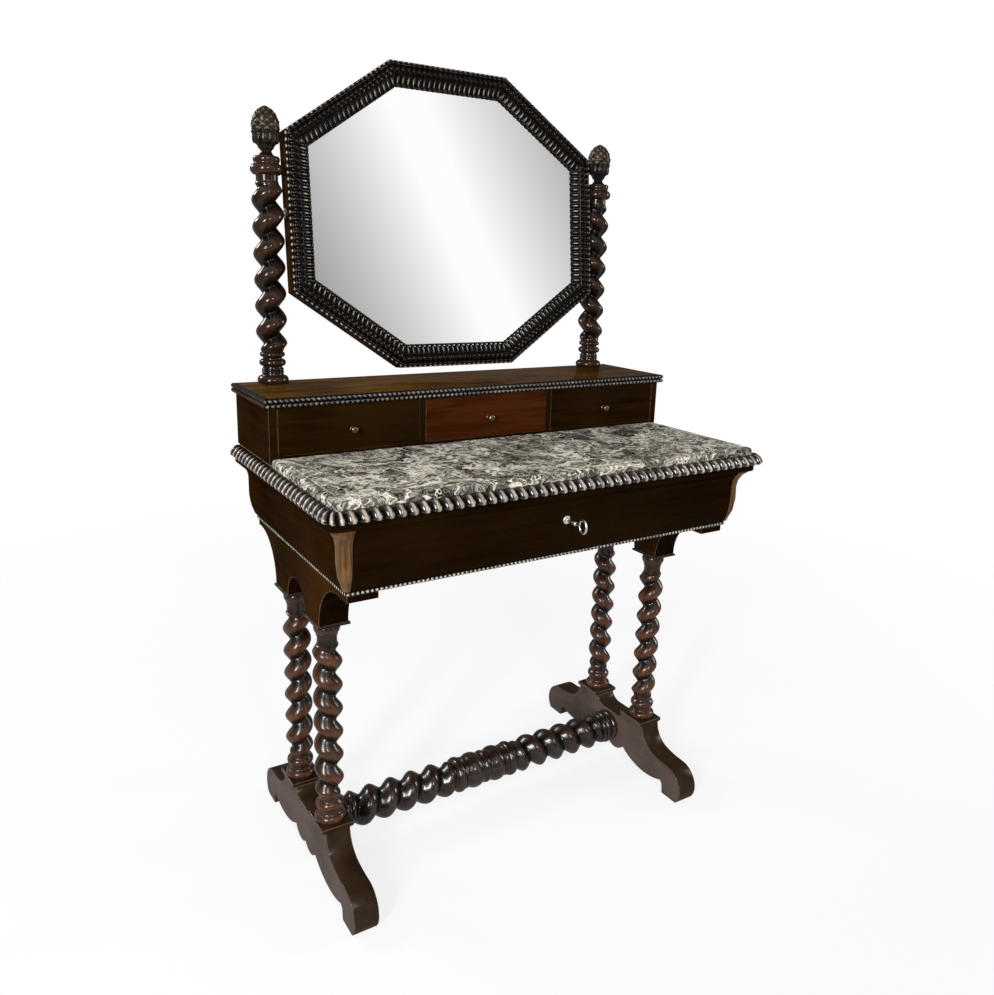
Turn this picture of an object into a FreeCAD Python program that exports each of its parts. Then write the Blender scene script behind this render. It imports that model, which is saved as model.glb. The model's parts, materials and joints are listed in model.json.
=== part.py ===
import FreeCAD, Part
import math
import os
import re
import Sketcher
from FreeCAD import Vector

# A dressing table in dark polished wood: twist-turned legs on scrolled feet, a long ogee drawer
# under a marble slab, a small case of three drawers, and an eight-sided mirror that tilts
# between two twist-turned posts.
# X runs along the front, Y to the back and Z up. The origin is on the floor under the middle.
# Every "depth" is measured forward from the table's back plane.

os.makedirs("parts", exist_ok=True)
doc = FreeCAD.newDocument("dressing_table")

SIZES = {
    # Half the width of the drawer case at the foot of its ogee, from which the width is set out
    "case_plan_x": 403.0,
    # Feet, which lie under the ends of the table
    "foot_inset": 2.0,
    "foot_thick": 47.0,
    "foot_reach": 243.5,
    "foot_height": 124.0,
    "foot_pad_thick": 8.0,
    "foot_pad_wide": 62.0,
    "foot_pad_long": 70.0,
    # Legs
    "leg_inset": 25.0,
    "leg_spread": 80.0,
    "leg_long": 392.0,
    "leg_ring": 28.0,
    "leg_foot_turning": 50.0,
    "leg_head_turning": 46.0,
    "leg_twist_core": 20.0,
    "leg_twist_throw": 6.5,
    "leg_twist_pitch": 46.0,
    "leg_twist_fade": 12.0,
    # Stretcher between the feet
    "stretcher_height": 70.0,
    "stretcher_ring": 37.0,
    "stretcher_middle": 78.0,
    "stretcher_end": 42.5,
    "stretcher_twist_core": 30.0,
    "stretcher_twist_throw": 6.5,
    "stretcher_twist_pitch": 46.4,
    "stretcher_twist_fade": 10.0,
    # Brackets that carry the drawer case on the legs
    "bracket_out": 2.0,
    "bracket_thick": 54.0,
    "bracket_tall": 102.0,
    "bracket_lip": 12.0,
    "bracket_hollow": 86.0,
    "bracket_block_long": 68.0,
    "bracket_lip_front": 40.0,
    "bracket_lip_rear": 12.0,
    "bracket_arch_lift": 2.0,
    "abacus_thick": 4.0,
    "abacus_overhang": 3.0,
    # Drawer case with ogee sides
    "bottom_board_thick": 11.0,
    "frieze_tall": 109.0,
    "frieze_thick": 18.0,
    "frieze_rebate": 17.0,
    "back_panel_thick": 15.0,
    "guide_tall": 24.0,
    "ogee_foot_out": 8.8,
    "ogee_belly_out": 20.0,
    "ogee_top_out": 40.0,
    "ogee_belly_lift": 49.0,
    "ogee_upright": 25.0,
    # Bead under the ogee
    "bead_radius": 4.0,
    "bead_seat": 3.0,
    # Top
    "top_board_out": 44.0,
    "top_board_thick": 15.0,
    "top_board_round": 22.0,
    "marble_side_out": 34.0,
    "marble_front_out": 38.0,
    "marble_corner": 10.0,
    "marble_thick": 22.0,
    "marble_edge_round": 6.0,
    "marble_gap": 0.5,
    "top_panel_thick": 8.0,
    "rim_radius": 10.5,
    "rim_seat": 12.5,
    # Long drawer
    "drawer_front_thick": 16.0,
    "drawer_side_inset": 14.0,
    "drawer_side_thick": 10.0,
    "drawer_side_drop": 12.0,
    "drawer_back_depth": 30.0,
    "drawer_bottom_thick": 6.0,
    "drawer_bottom_lift": 8.0,
    "drawer_gap": 0.7,
    "drawer_lift": 0.4,
    # Lock and key
    "key_x": -3.0,
    "key_lift": 63.0,
    "key_shaft": 2.5,
    "key_fit": 0.08,
    "key_collar": 4.0,
    "key_collar_long": 4.0,
    "key_collar_out": 23.0,
    "key_bow_out": 36.0,
    "key_bow_long": 22.0,
    "key_bow_tall": 26.0,
    "key_wire": 1.5,
    "escutcheon_radius": 7.5,
    "escutcheon_thick": 1.2,
    "lock_wide": 60.0,
    "lock_thick": 12.0,
    "lock_foot_drop": 18.0,
    "bolt_wide": 24.0,
    "bolt_thick": 6.0,
    "bolt_foot_lift": 8.0,
    "bolt_throw": 6.0,
    "bolt_gap": 0.4,
    # Upper case of three drawers
    "upper_side_out": 3.0,
    "upper_depth": 197.0,
    "upper_side_thick": 15.5,
    "upper_bottom_thick": 13.0,
    "upper_tall": 99.0,
    "upper_top_thick": 17.0,
    "upper_back_thick": 8.0,
    "middle_half_wide": 139.0,
    "divider_thick": 12.0,
    "upper_mould_out": 9.0,
    "upper_mould_seat": 5.0,
    "small_front_thick": 14.0,
    "small_wall": 8.0,
    "small_wall_drop": 11.0,
    "small_box_back_depth": 14.0,
    "small_bottom_thick": 4.0,
    "small_bottom_lift": 4.0,
    "small_gap": 0.5,
    "small_lift": 0.4,
    "knob_drop": 4.0,
    "knob_radius": 7.4,
    "knob_long": 17.0,
    # Mirror posts and finials
    "post_gap": 3.7,
    "post_depth": 27.0,
    "post_above_pivot": 104.0,
    "post_ring": 29.5,
    "post_foot_turning": 63.0,
    "post_head_turning": 55.0,
    "post_twist_core": 21.0,
    "post_twist_throw": 7.5,
    "post_twist_pitch": 47.0,
    "post_twist_fade": 12.0,
    "finial_tall": 77.0,
    "finial_ring": 26.5,
    # Mirror
    "mirror_clear": 20.6,
    "pivot_pin": 3.5,
    "pivot_fit": 0.08,
    "pivot_pin_long": 22.0,
    "pivot_plate": 9.0,
    "pivot_plate_thick": 2.0,
    "mirror_half_wide": 343.8,
    "mirror_half_tall": 290.4,
    "mirror_half_top": 130.0,
    "mirror_half_side": 143.3,
    "mirror_frame_wide": 46.0,
    "mirror_frame_deep": 36.0,
    "mirror_frame_front": 26.0,
    "mirror_lip": 6.0,
    "mirror_glass_set": 11.0,
    "mirror_glass_thick": 4.0,
    "mirror_board_thick": 5.0,
    "mirror_glass_gap": 0.3,
    "mirror_top_back": 30.4,
}

# Sizes that follow from the others
DERIVED = {
    "leg_x": "case_plan_x - leg_inset",
    "foot_x": "leg_x - foot_inset",
    "foot_top": "foot_height + foot_pad_thick",
    "leg_top": "foot_top + leg_long",
    "bracket_half": "leg_spread + bracket_block_long / 2 + bracket_hollow",
    "base_depth": "bracket_half + bracket_lip_rear",
    "case_plan_depth": "base_depth + bracket_half + bracket_lip_front",
    "leg_front_depth": "base_depth + leg_spread",
    "leg_rear_depth": "base_depth - leg_spread",
    "front_depth": "case_plan_depth + ogee_belly_out",
    "key_reach": "front_depth + key_bow_out + key_bow_long",
    "back_y": "(key_reach + base_depth - foot_reach) / 2",
    "block_half": "bracket_block_long / 2",
    "bracket_outer_x": "case_plan_x + bracket_out",
    "bracket_foot": "leg_top + abacus_thick",
    "bracket_top": "bracket_foot + bracket_tall",
    "bracket_lip_height": "bracket_top - bracket_lip",
    "case_floor": "bracket_top + bottom_board_thick",
    "frieze_top": "case_floor + frieze_tall",
    "frieze_inner_x": "case_plan_x - frieze_thick",
    "ogee_belly_low": "case_floor + ogee_belly_lift",
    "ogee_belly_high": "ogee_belly_low + ogee_upright",
    "bead_height": "bracket_top + bottom_board_thick / 2",
    "top_height": "frieze_top + top_board_thick",
    "rim_top": "top_height + 2 * rim_radius",
    "marble_x": "case_plan_x + marble_side_out",
    "marble_front_depth": "case_plan_depth + marble_front_out",
    "marble_top_height": "top_height + top_panel_thick + marble_thick",
    "rebate_depth": "case_plan_depth - frieze_rebate",
    "drawer_front_rear_depth": "case_plan_depth - drawer_front_thick",
    "drawer_side_x": "frieze_inner_x - drawer_side_inset",
    "drawer_side_top": "frieze_top - drawer_side_drop",
    "key_height": "case_floor + key_lift",
    "belly_radius": "((ogee_belly_out - ogee_foot_out)^2 + ogee_belly_lift^2)"
                    " / (2 * (ogee_belly_out - ogee_foot_out))",
    "hollow_radius": "((ogee_top_out - ogee_belly_out)^2 + (frieze_top - ogee_belly_high)^2)"
                     " / (2 * (ogee_top_out - ogee_belly_out))",
    "upper_x": "marble_x + upper_side_out",
    "upper_floor": "rim_top + upper_bottom_thick",
    "upper_top": "rim_top + upper_tall",
    "upper_lid": "upper_top + upper_top_thick",
    "upper_inner_x": "upper_x - upper_side_thick",
    "divider_x": "middle_half_wide + divider_thick / 2",
    "drawer_foot": "case_floor + drawer_lift",
    "small_foot": "upper_floor + small_lift",
    "small_wall_tall": "upper_top - small_wall_drop - small_foot",
    "knob_x": "(divider_x + divider_thick / 2 + upper_inner_x) / 2",
    "knob_height": "(small_foot + upper_top) / 2 - knob_drop",
    "bolt_foot": "key_height + bolt_foot_lift",
    "bolt_rear_depth": "drawer_front_rear_depth - (lock_thick - bolt_thick) / 2 - bolt_thick",
    "post_x": "mirror_half_wide + post_gap + post_twist_core + post_twist_throw",
    "pivot_height": "upper_lid + mirror_half_tall + mirror_clear",
    "post_neck_height": "pivot_height + post_above_pivot",
    "glass_inset": "mirror_frame_wide - mirror_lip + mirror_glass_gap",
}

# Turned profiles: (share of the stretch's height, share of its ring's radius)
leg_foot_shares = ((0.0, 1.0), (0.14, 0.97), (0.28, 0.89), (0.38, 0.73), (0.46, 0.73),
                   (0.56, 0.88), (0.68, 0.92), (0.8, 0.86), (0.92, 0.7))
leg_head_shares = ((0.08, 0.76), (0.22, 0.93), (0.36, 0.87), (0.46, 0.75), (1.0, 0.79))
stretcher_middle_shares = ((0.0, 0.89), (0.14, 0.89), (0.23, 0.97), (0.35, 1.0), (0.47, 0.97),
                           (0.56, 0.85), (0.61, 0.85), (0.67, 0.95), (0.78, 1.0), (0.88, 0.95),
                           (0.95, 0.81))
stretcher_end_shares = ((0.12, 0.78), (0.26, 0.9), (0.45, 0.98), (0.6, 0.9), (0.68, 0.84),
                        (0.78, 0.94), (0.88, 0.98), (1.0, 0.92))
post_foot_shares = ((0.0, 0.92), (0.08, 0.98), (0.18, 0.98), (0.36, 0.6), (0.48, 0.76),
                    (0.57, 0.86), (0.66, 0.74), (0.73, 0.6), (0.86, 0.8))
post_head_shares = ((0.1, 0.68), (0.24, 0.68), (0.38, 0.86), (0.46, 1.0), (0.54, 0.86),
                    (0.64, 0.81), (0.84, 0.78), (0.94, 0.6), (1.0, 0.32))
finial_shares = ((0.0, 0.36), (0.08, 0.57), (0.19, 0.85), (0.34, 0.92), (0.45, 1.0), (0.51, 0.87),
                 (0.65, 0.84), (0.78, 0.73), (0.91, 0.55), (1.0, 0.19))
knob_shares = ((0.0, 0.62), (0.12, 0.62), (0.2, 0.4), (0.4, 0.42), (0.55, 0.85), (0.75, 1.0),
               (0.92, 0.75), (1.0, 0.3))

# The foot's lower edge and toe: (share of the reach, share of the height, rise of the arc that
# leaves the corner as a share of the height, outward where positive)
foot_under_shares = ((0.0, 0.275, 0.105), (0.214, 0.323, 0.133), (0.747, 0.218, 0.0),
                     (0.768, 0.177, 0.0), (0.78, 0.0, 0.0), (0.955, 0.0, 0.024),
                     (1.0, 0.226, 0.103), (0.821, 0.577, -0.014), (0.616, 0.629, -0.077))
foot_dip_shares = (0.09, 0.871, 0.032)

# The mirror frame's face: (share of the width from the outside, share of the depth from the front)
mirror_face_shares = ((0.0, 0.16), (0.05, 0.08), (0.13, 0.08), (0.17, 0.15), (0.27, 0.03),
                      (0.42, 0.0), (0.58, 0.04), (0.7, 0.2), (0.8, 0.3), (0.89, 0.31),
                      (0.93, 0.23), (1.0, 0.28))

# The corner's rounding: (share of the frieze's height, share of the ogee's top reach)
corner_round_shares = ((0.0, 0.12), (0.22, 0.18), (0.45, 0.2), (0.68, 0.25), (0.8, 0.28),
                       (0.9, 0.34), (1.0, 0.5))

# How finely the turned and moulded pieces are faceted
twist_steps = 8
turned_sides = 8
small_sides = 6
key_sides = 12
key_bow_steps = 16
corner_steps = 3
round_steps = 6

sheet = doc.addObject("Spreadsheet::Sheet", "Sizes")
for row, (alias, value) in enumerate(SIZES.items(), 1):
    sheet.set(f"A{row}", alias)
    sheet.set(f"B{row}", str(value))
    sheet.setAlias(f"B{row}", alias)
doc.recompute()

WORD = re.compile(r"[a-z][a-z_]*")
nodes = []


def linked(text):
    """The formula with its sizes read from the sheet and its derived sizes spelt out."""
    def spell(match):
        word = match.group(0)
        if word in SIZES:
            return "Sizes." + word
        if word in DERIVED:
            return "(" + linked(DERIVED[word]) + ")"
        return word
    return WORD.sub(spell, text)


def size(text):
    """The value of a formula."""
    return float(sheet.evalExpression(linked(text)))


def keep(piece):
    """A finished sub-part: its label names its node."""
    piece.Label = piece.Name
    nodes.append(piece)
    return piece


# Outlines, pads and boards


def new_body(name, x="0", y="0"):
    """An empty body whose own Y is zero at the table's back plane."""
    body = doc.addObject("PartDesign::Body", name)
    body.setExpression("Placement.Base.x", linked(x))
    body.setExpression("Placement.Base.y", linked(f"back_y + {y}"))
    return body


def arc_middle(first, last, radius):
    """The point halfway along the short arc, which bulges right of the way where radius > 0."""
    chord = last - first
    half = chord.Length / 2
    rise = abs(radius) - math.sqrt(max(radius * radius - half * half, 0.0))
    right = Vector(chord.y, -chord.x, 0).normalize()
    return (first + last) / 2 + right * math.copysign(rise, radius)


def draw_outline(drawing, corners):
    """One anticlockwise outline. A corner is (across, up) or (across, up, radius): the side that
    leaves it is then an arc, hollow where the radius is below zero."""
    points = [Vector(size(corner[0]), size(corner[1]), 0) for corner in corners]
    sides = []
    for index, corner in enumerate(corners):
        first = points[index]
        last = points[(index + 1) % len(points)]
        if len(corner) == 2:
            sides.append((drawing.addGeometry(Part.LineSegment(first, last)), 1, 2))
            continue
        radius = size(corner[2])
        middle = arc_middle(first, last, radius)
        ends = (first, last) if radius > 0 else (last, first)
        arc = drawing.addGeometry(Part.ArcOfCircle(ends[0], middle, ends[1]))
        sides.append((arc, 1, 2) if radius > 0 else (arc, 2, 1))
    for index, corner in enumerate(corners):
        side, start, _ = sides[index]
        before, _, end = sides[index - 1]
        drawing.addConstraint(Sketcher.Constraint("Coincident", before, end, side, start))
        for kind, place, text in (("DistanceX", points[index].x, corner[0]),
                                  ("DistanceY", points[index].y, corner[1])):
            rule = Sketcher.Constraint(kind, -1, 1, side, start, place)
            number = drawing.addConstraint(rule)
            drawing.setExpression(f"Constraints[{number}]", linked(text))
        if len(corner) > 2:
            radius = abs(size(corner[2]))
            number = drawing.addConstraint(Sketcher.Constraint("Radius", side, radius))
            drawing.setExpression(f"Constraints[{number}]", linked(f"abs({corner[2]})"))


def pad(body, role, start, length, *outlines):
    """A pad of the outlines, from start along the normal of one of the body's own planes."""
    number = len(body.Group)
    drawing = body.newObject("Sketcher::SketchObject", f"{body.Name}_outline_{number}")
    planes = [feature for feature in body.Origin.OriginFeatures if feature.Role == role]
    drawing.AttachmentSupport = [(planes[0], "")]
    drawing.MapMode = "FlatFace"
    drawing.setExpression("AttachmentOffset.Base.z", linked(start))
    for corners in outlines:
        draw_outline(drawing, corners)
    feature = body.newObject("PartDesign::Pad", f"{body.Name}_pad_{number}")
    feature.Profile = drawing
    feature.setExpression("Length", linked(length))
    return feature


def mirrored(corners):
    """The same outline on the other side of zero, still anticlockwise."""
    turned = []
    for index in range(len(corners) - 1, -1, -1):
        across, up = corners[index][:2]
        turned.append((f"-({across})", up) + tuple(corners[index - 1][2:]))
    return turned


def rectangle(left, right, low, high):
    return [(left, low), (right, low), (right, high), (left, high)]


def rise_radius(first, last, rise):
    """The radius of the arc between two corners that rises so far from its chord."""
    across = f"({last[0]}) - ({first[0]})"
    up = f"({last[1]}) - ({first[1]})"
    return f"(({across})^2 + ({up})^2) / (8 * ({rise})) + ({rise}) / 2"


def board(name, left, right, front, rear, low, high):
    """A plain board between two places each way; front and rear are depths."""
    box = doc.addObject("Part::Box", name)
    box.setExpression("Length", linked(f"({right}) - ({left})"))
    box.setExpression("Width", linked(f"({front}) - ({rear})"))
    box.setExpression("Height", linked(f"({high}) - ({low})"))
    box.setExpression("Placement.Base.x", linked(left))
    box.setExpression("Placement.Base.y", linked(f"back_y - ({front})"))
    box.setExpression("Placement.Base.z", linked(low))
    return box


def rod(name, radius, length, x, rear, z):
    """A round rod that runs forward from a depth."""
    bar = doc.addObject("Part::Cylinder", name)
    bar.Placement = FreeCAD.Placement(Vector(), FreeCAD.Rotation(Vector(1, 0, 0), 90))
    bar.setExpression("Radius", linked(radius))
    bar.setExpression("Height", linked(length))
    bar.setExpression("Placement.Base.x", linked(x))
    bar.setExpression("Placement.Base.y", linked(f"back_y - ({rear})"))
    bar.setExpression("Placement.Base.z", linked(z))
    return bar


def cut(name, base, *tools):
    """The base with each tool's room taken out of it."""
    for number, tool in enumerate(tools, 1):
        last = number == len(tools)
        result = doc.addObject("Part::Cut", name if last else f"{name}_cut_{number}")
        result.Base = base
        result.Tool = tool
        base = result
    return keep(base)


def group(name, pieces):
    """Like pieces that share a node."""
    whole = doc.addObject("Part::Compound", name)
    whole.Links = pieces
    return keep(whole)


# Turned and moulded forms


def polygon(points):
    return Part.Face(Part.makePolygon(points + points[:1]))


def skin(loops, closed=False, split=False):
    """A solid whose skin joins each loop of points to the next one, side by side. Equal loops
    that keep their direction have flat sides; split halves each side into two triangles."""
    faces = []
    if not closed:
        faces += [polygon(loops[0][::-1]), polygon(loops[-1])]
    pairs = list(zip(loops, loops[1:]))
    if closed:
        pairs.append((loops[-1], loops[0]))
    for low, high in pairs:
        for here in range(len(low)):
            there = (here + 1) % len(low)
            quad = [low[here], low[there], high[there], high[here]]
            if split:
                faces += [polygon(quad[:3]), polygon([quad[0], quad[2], quad[3]])]
            else:
                faces.append(polygon(quad))
    solid = Part.Solid(Part.Shell(faces))
    if solid.Volume < 0:
        solid.reverse()
    return solid


def stacked(rings, sides, point):
    """A turned solid from rings (along, across, over, radius) of so many flat sides."""
    angles = [2 * math.pi * side / sides for side in range(sides)]
    loops = []
    for along, across, over, radius in rings:
        loops.append([point(along, across + radius * math.cos(angle), over + radius * math.sin(angle))
                      for angle in angles])
    return skin(loops)


def turned_rings(shares, low, tall, radius):
    return [(low + tall * up, 0.0, 0.0, radius * out) for up, out in shares]


def twist_rings(kind, low, high, hand, towards, mark):
    """Rings whose centre winds round the axis: the lobe points towards an angle at the mark."""
    core = size(f"{kind}_twist_core")
    throw = size(f"{kind}_twist_throw")
    pitch = size(f"{kind}_twist_pitch")
    fade = size(f"{kind}_twist_fade")
    steps = round((high - low) / pitch * twist_steps)
    rings = []
    for step in range(steps + 1):
        along = low + (high - low) * step / steps
        share = min(1.0, (along - low) / fade, (high - along) / fade)
        angle = math.radians(towards) + hand * 2 * math.pi * (along - mark) / pitch
        rings.append((along, throw * share * math.cos(angle), throw * share * math.sin(angle), core))
    return rings


def upright(along, across, over):
    return Vector(across, over, along)


def sideways(along, across, over):
    return Vector(along, across, over)


def forward(along, across, over):
    return Vector(across, -along, over)


def set_down(name, shape, x="0", depth="0", z="0"):
    """A sub-part with a worked-out shape, put at its place in the table."""
    piece = doc.addObject("Part::Feature", name)
    piece.Shape = shape
    piece.Placement = FreeCAD.Placement(Vector(size(x), size(f"back_y - ({depth})"), size(z)),
                                        FreeCAD.Rotation())
    return piece


def corner_stations(x, depth, radius, first, last):
    """Stations round a plan corner: a place and the way out from it, between two angles."""
    stations = []
    for step in range(corner_steps + 1):
        angle = math.radians(first + (last - first) * step / corner_steps)
        way = Vector(math.cos(angle), math.sin(angle), 0)
        stations.append((Vector(x, -depth, 0) + way * radius, way))
    return stations


def moulding(profile, stations):
    """A moulding whose profile (out, height) is carried through the stations."""
    loops = [[place + way * out + Vector(0, 0, height) for out, height in profile]
             for place, way in stations]
    return skin(loops)


def edge_runs(half_x, depth, radius):
    """The stations of a moulding round the left end, the front and the right end."""
    x = half_x - radius
    y = depth - radius
    back = {side: (Vector(side * half_x, 0, 0), Vector(side, 0, 0)) for side in (-1, 1)}
    left = [back[-1]] + corner_stations(-x, y, radius, 180, 225)
    front = corner_stations(-x, y, radius, 225, 270) + corner_stations(x, y, radius, 270, 315)
    right = corner_stations(x, y, radius, 315, 360) + [back[1]]
    return left, front, right


def half_round(seat, height, radius):
    """A half-round edge as profile points, from below to above."""
    points = []
    for step in range(round_steps + 1):
        angle = math.pi * (step / round_steps - 1 / 2)
        points.append((seat + radius * math.cos(angle), height + radius * math.sin(angle)))
    return points


# The base


def make_feet():
    """Scrolled feet with a square pad under each leg."""
    near = "leg_spread - foot_pad_long / 2"
    far = "leg_spread + foot_pad_long / 2"
    half = []
    for reach, height, rise in foot_under_shares:
        half.append((f"{reach} * foot_reach", f"{height} * foot_height", rise))
    half.append((far, "foot_height", 0.0))
    half.append((near, "foot_height", -foot_dip_shares[2]))
    half.append((f"{foot_dip_shares[0]} * foot_reach", f"{foot_dip_shares[1]} * foot_height", 0.0))
    corners = []
    for index, corner in enumerate(half):
        if corner[2] == 0.0:
            corners.append(corner[:2])
            continue
        radius = rise_radius(corner, half[index + 1], f"{corner[2]} * foot_height")
        corners.append((corner[0], corner[1], radius))
    outline = corners + mirrored(corners)[:-1]
    for side, sign in (("left", "-"), ("right", "")):
        body = new_body(f"foot_{side}", f"{sign}foot_x", "(-base_depth)")
        pad(body, "YZ_Plane", "-foot_thick / 2", "foot_thick", outline)
        wide = "foot_pad_wide / 2"
        pad(body, "XY_Plane", "foot_height", "foot_pad_thick",
            rectangle(f"-{wide}", wide, near, far),
            rectangle(f"-{wide}", wide, f"-({far})", f"-({near})"))
        keep(body)


def make_legs():
    """Single-start twist legs between turned ends, handed in pairs."""
    low = size("foot_top")
    high = size("leg_top")
    foot = size("leg_foot_turning")
    head = size("leg_head_turning")
    ring = size("leg_ring")
    # side, hand of the twist, and the way the lobe points at a height
    legs = (("front_left", "-", "front", -1, -20.6, 0.797), ("front_right", "", "front", 1, -43.5, 0.793),
            ("rear_left", "-", "rear", 1, -18.6, 0.738), ("rear_right", "", "rear", -1, -40.4, 0.773))
    for name, sign, row, hand, towards, mark_share in legs:
        mark = low + (high - low) * mark_share
        rings = turned_rings(leg_foot_shares, low, foot, ring)
        rings += twist_rings("leg", low + foot, high - head, hand, towards, mark)
        rings += turned_rings(leg_head_shares, high - head, head, ring)
        shape = stacked(rings, turned_sides, upright)
        keep(set_down(f"leg_{name}", shape, f"{sign}leg_x", f"leg_{row}_depth"))


def make_stretcher():
    """A twist stretcher, its two halves of opposite hand, with a pair of balls in the middle."""
    end = size("foot_x - foot_thick / 2")
    middle = size("stretcher_middle")
    last = size("stretcher_end")
    ring = size("stretcher_ring")
    half = turned_rings(stretcher_middle_shares, 0.0, middle, ring)
    half += twist_rings("stretcher", middle, end - last, 1, 90, middle)
    half += turned_rings(stretcher_end_shares, end - last, last, ring)
    rings = [(-along, across, over, radius) for along, across, over, radius in half[:0:-1]] + half
    shape = stacked(rings, turned_sides, sideways)
    keep(set_down("stretcher", shape, "0", "base_depth", "stretcher_height"))


def make_brackets():
    """Hollowed slabs with a block over each leg and an arch between the blocks."""
    lip = "bracket_lip_height"
    foot = "bracket_foot"
    spring = "bracket_foot + bracket_arch_lift"
    front = "-(leg_front_depth + block_half)"
    arch_front = "-(leg_front_depth - block_half)"
    arch_rear = "-(leg_rear_depth + block_half)"
    rear = "-(leg_rear_depth - block_half)"
    arch = "(leg_spread - block_half)"
    outline = [("-case_plan_depth", lip), (f"{front} - bracket_hollow", lip, "-bracket_hollow"),
               (front, f"{lip} - bracket_hollow"), (front, foot),
               (arch_front, foot), (arch_front, spring, f"-{arch}"),
               ("-base_depth", f"{spring} + {arch}", f"-{arch}"), (arch_rear, spring),
               (arch_rear, foot), (rear, foot),
               (rear, f"{lip} - bracket_hollow", "-bracket_hollow"),
               (f"{rear} + bracket_hollow", lip), ("0", lip),
               ("0", "bracket_top"), ("-case_plan_depth", "bracket_top")]
    for side, start in (("left", "-bracket_outer_x"), ("right", "bracket_outer_x - bracket_thick")):
        body = new_body(f"bracket_{side}")
        pad(body, "YZ_Plane", start, "bracket_thick", outline)
        plates = [rectangle(f"{start} - abacus_overhang", f"{start} + bracket_thick + abacus_overhang",
                            f"-(leg_{row}_depth + block_half + abacus_overhang)",
                            f"-(leg_{row}_depth - block_half - abacus_overhang)")
                  for row in ("front", "rear")]
        pad(body, "XY_Plane", "leg_top", "abacus_thick", *plates)
        keep(body)


# The drawer case


def ogee_out(height):
    """How far the ogee stands out at a height."""
    belly = size("ogee_belly_out")
    radius = size("belly_radius")
    fall = size("ogee_belly_low") - height
    if fall > 0:
        return belly - radius + math.sqrt(radius * radius - fall * fall)
    radius = size("hollow_radius")
    climb = max(height - size("ogee_belly_high"), 0.0)
    return belly + radius - math.sqrt(radius * radius - climb * climb)


def ogee_outline(base, inner, low, high):
    """The ogee's section: its face stands out from base, and its back is at inner."""
    low_out = f"(ogee_belly_out - belly_radius + sqrt(belly_radius^2 - (ogee_belly_low - ({low}))^2))"
    top_out = f"(ogee_belly_out + hollow_radius - sqrt(hollow_radius^2 - (({high}) - ogee_belly_high)^2))"
    return [(inner, low), (f"{base} + {low_out}", low, "belly_radius"),
            (f"{base} + ogee_belly_out", "ogee_belly_low"),
            (f"{base} + ogee_belly_out", "ogee_belly_high", "-hollow_radius"),
            (f"{base} + {top_out}", high), (inner, high)]


def make_case():
    """The bottom board, the ogee sides with their rebates, the corner posts and the back."""
    keep(board("bottom_board", "-case_plan_x", "case_plan_x", "case_plan_depth", "0",
               "bracket_top", "case_floor"))
    whole = ogee_outline("case_plan_x", "frieze_inner_x", "case_floor", "frieze_top")
    tongue = ogee_outline("case_plan_x", "case_plan_x", "case_floor", "frieze_top")
    for side, turn in (("left", mirrored), ("right", list)):
        body = new_body(f"frieze_side_{side}")
        pad(body, "XZ_Plane", "0", "rebate_depth", turn(whole))
        pad(body, "XZ_Plane", "rebate_depth", "frieze_rebate", turn(tongue))
        keep(body)
    low = size("case_floor")
    tall = size("frieze_top") - low
    reach = size("ogee_top_out")
    for side, sign in (("left", -1), ("right", 1)):
        loops = []
        for height_share, round_share in corner_round_shares:
            height = low + tall * height_share
            out = ogee_out(height)
            radius = min(reach * round_share, out)
            plan = [(0.0, 0.0), (0.0, out)]
            for step in range(corner_steps + 1):
                angle = math.pi / 2 * (1 - step / corner_steps)
                plan.append((out - radius + radius * math.cos(angle),
                             out - radius + radius * math.sin(angle)))
            plan.append((out, 0.0))
            loops.append([Vector(sign * across, -forth, height) for across, forth in plan])
        place = f"{sign} * case_plan_x"
        keep(set_down(f"corner_post_{side}", skin(loops, split=True), place, "case_plan_depth"))
    keep(board("back_panel", "-frieze_inner_x", "frieze_inner_x", "back_panel_thick", "0",
               "case_floor", "frieze_top"))
    inner = "drawer_side_x + drawer_gap"
    guide = ("rebate_depth", "back_panel_thick", "case_floor", "case_floor + guide_tall")
    group("drawer_guides", [board("guide_left", "-frieze_inner_x", f"-({inner})", *guide),
                            board("guide_right", inner, "frieze_inner_x", *guide)])


def make_bead():
    """A half-round bead under the ogee, mitred at the corners."""
    height = size("bead_height")
    radius = size("bead_radius")
    profile = [(0.0, height - radius)] + half_round(size("bead_seat"), height, radius)
    profile.append((0.0, height + radius))
    left, front, right = edge_runs(size("case_plan_x"), size("case_plan_depth"), 0.0)
    mitre_left = (front[0][0], Vector(-1, -1, 0))
    mitre_right = (front[-1][0], Vector(1, -1, 0))
    keep(set_down("bead_front", moulding(profile, [mitre_left, mitre_right])))
    sides = Part.makeCompound([moulding(profile, [left[0], mitre_left]),
                               moulding(profile, [mitre_right, right[-1]])])
    keep(set_down("bead_sides", sides))


# The top


def rounded_plan(half_x, depth, radius, rear):
    """A plan with its two front corners rounded."""
    x = f"({half_x}) - ({radius})"
    y = f"({radius}) - ({depth})"
    return [(f"-({half_x})", y, radius), (f"-({x})", f"-({depth})"), (x, f"-({depth})", radius),
            (half_x, y), (half_x, f"-({rear})"), (f"-({half_x})", f"-({rear})")]


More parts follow.
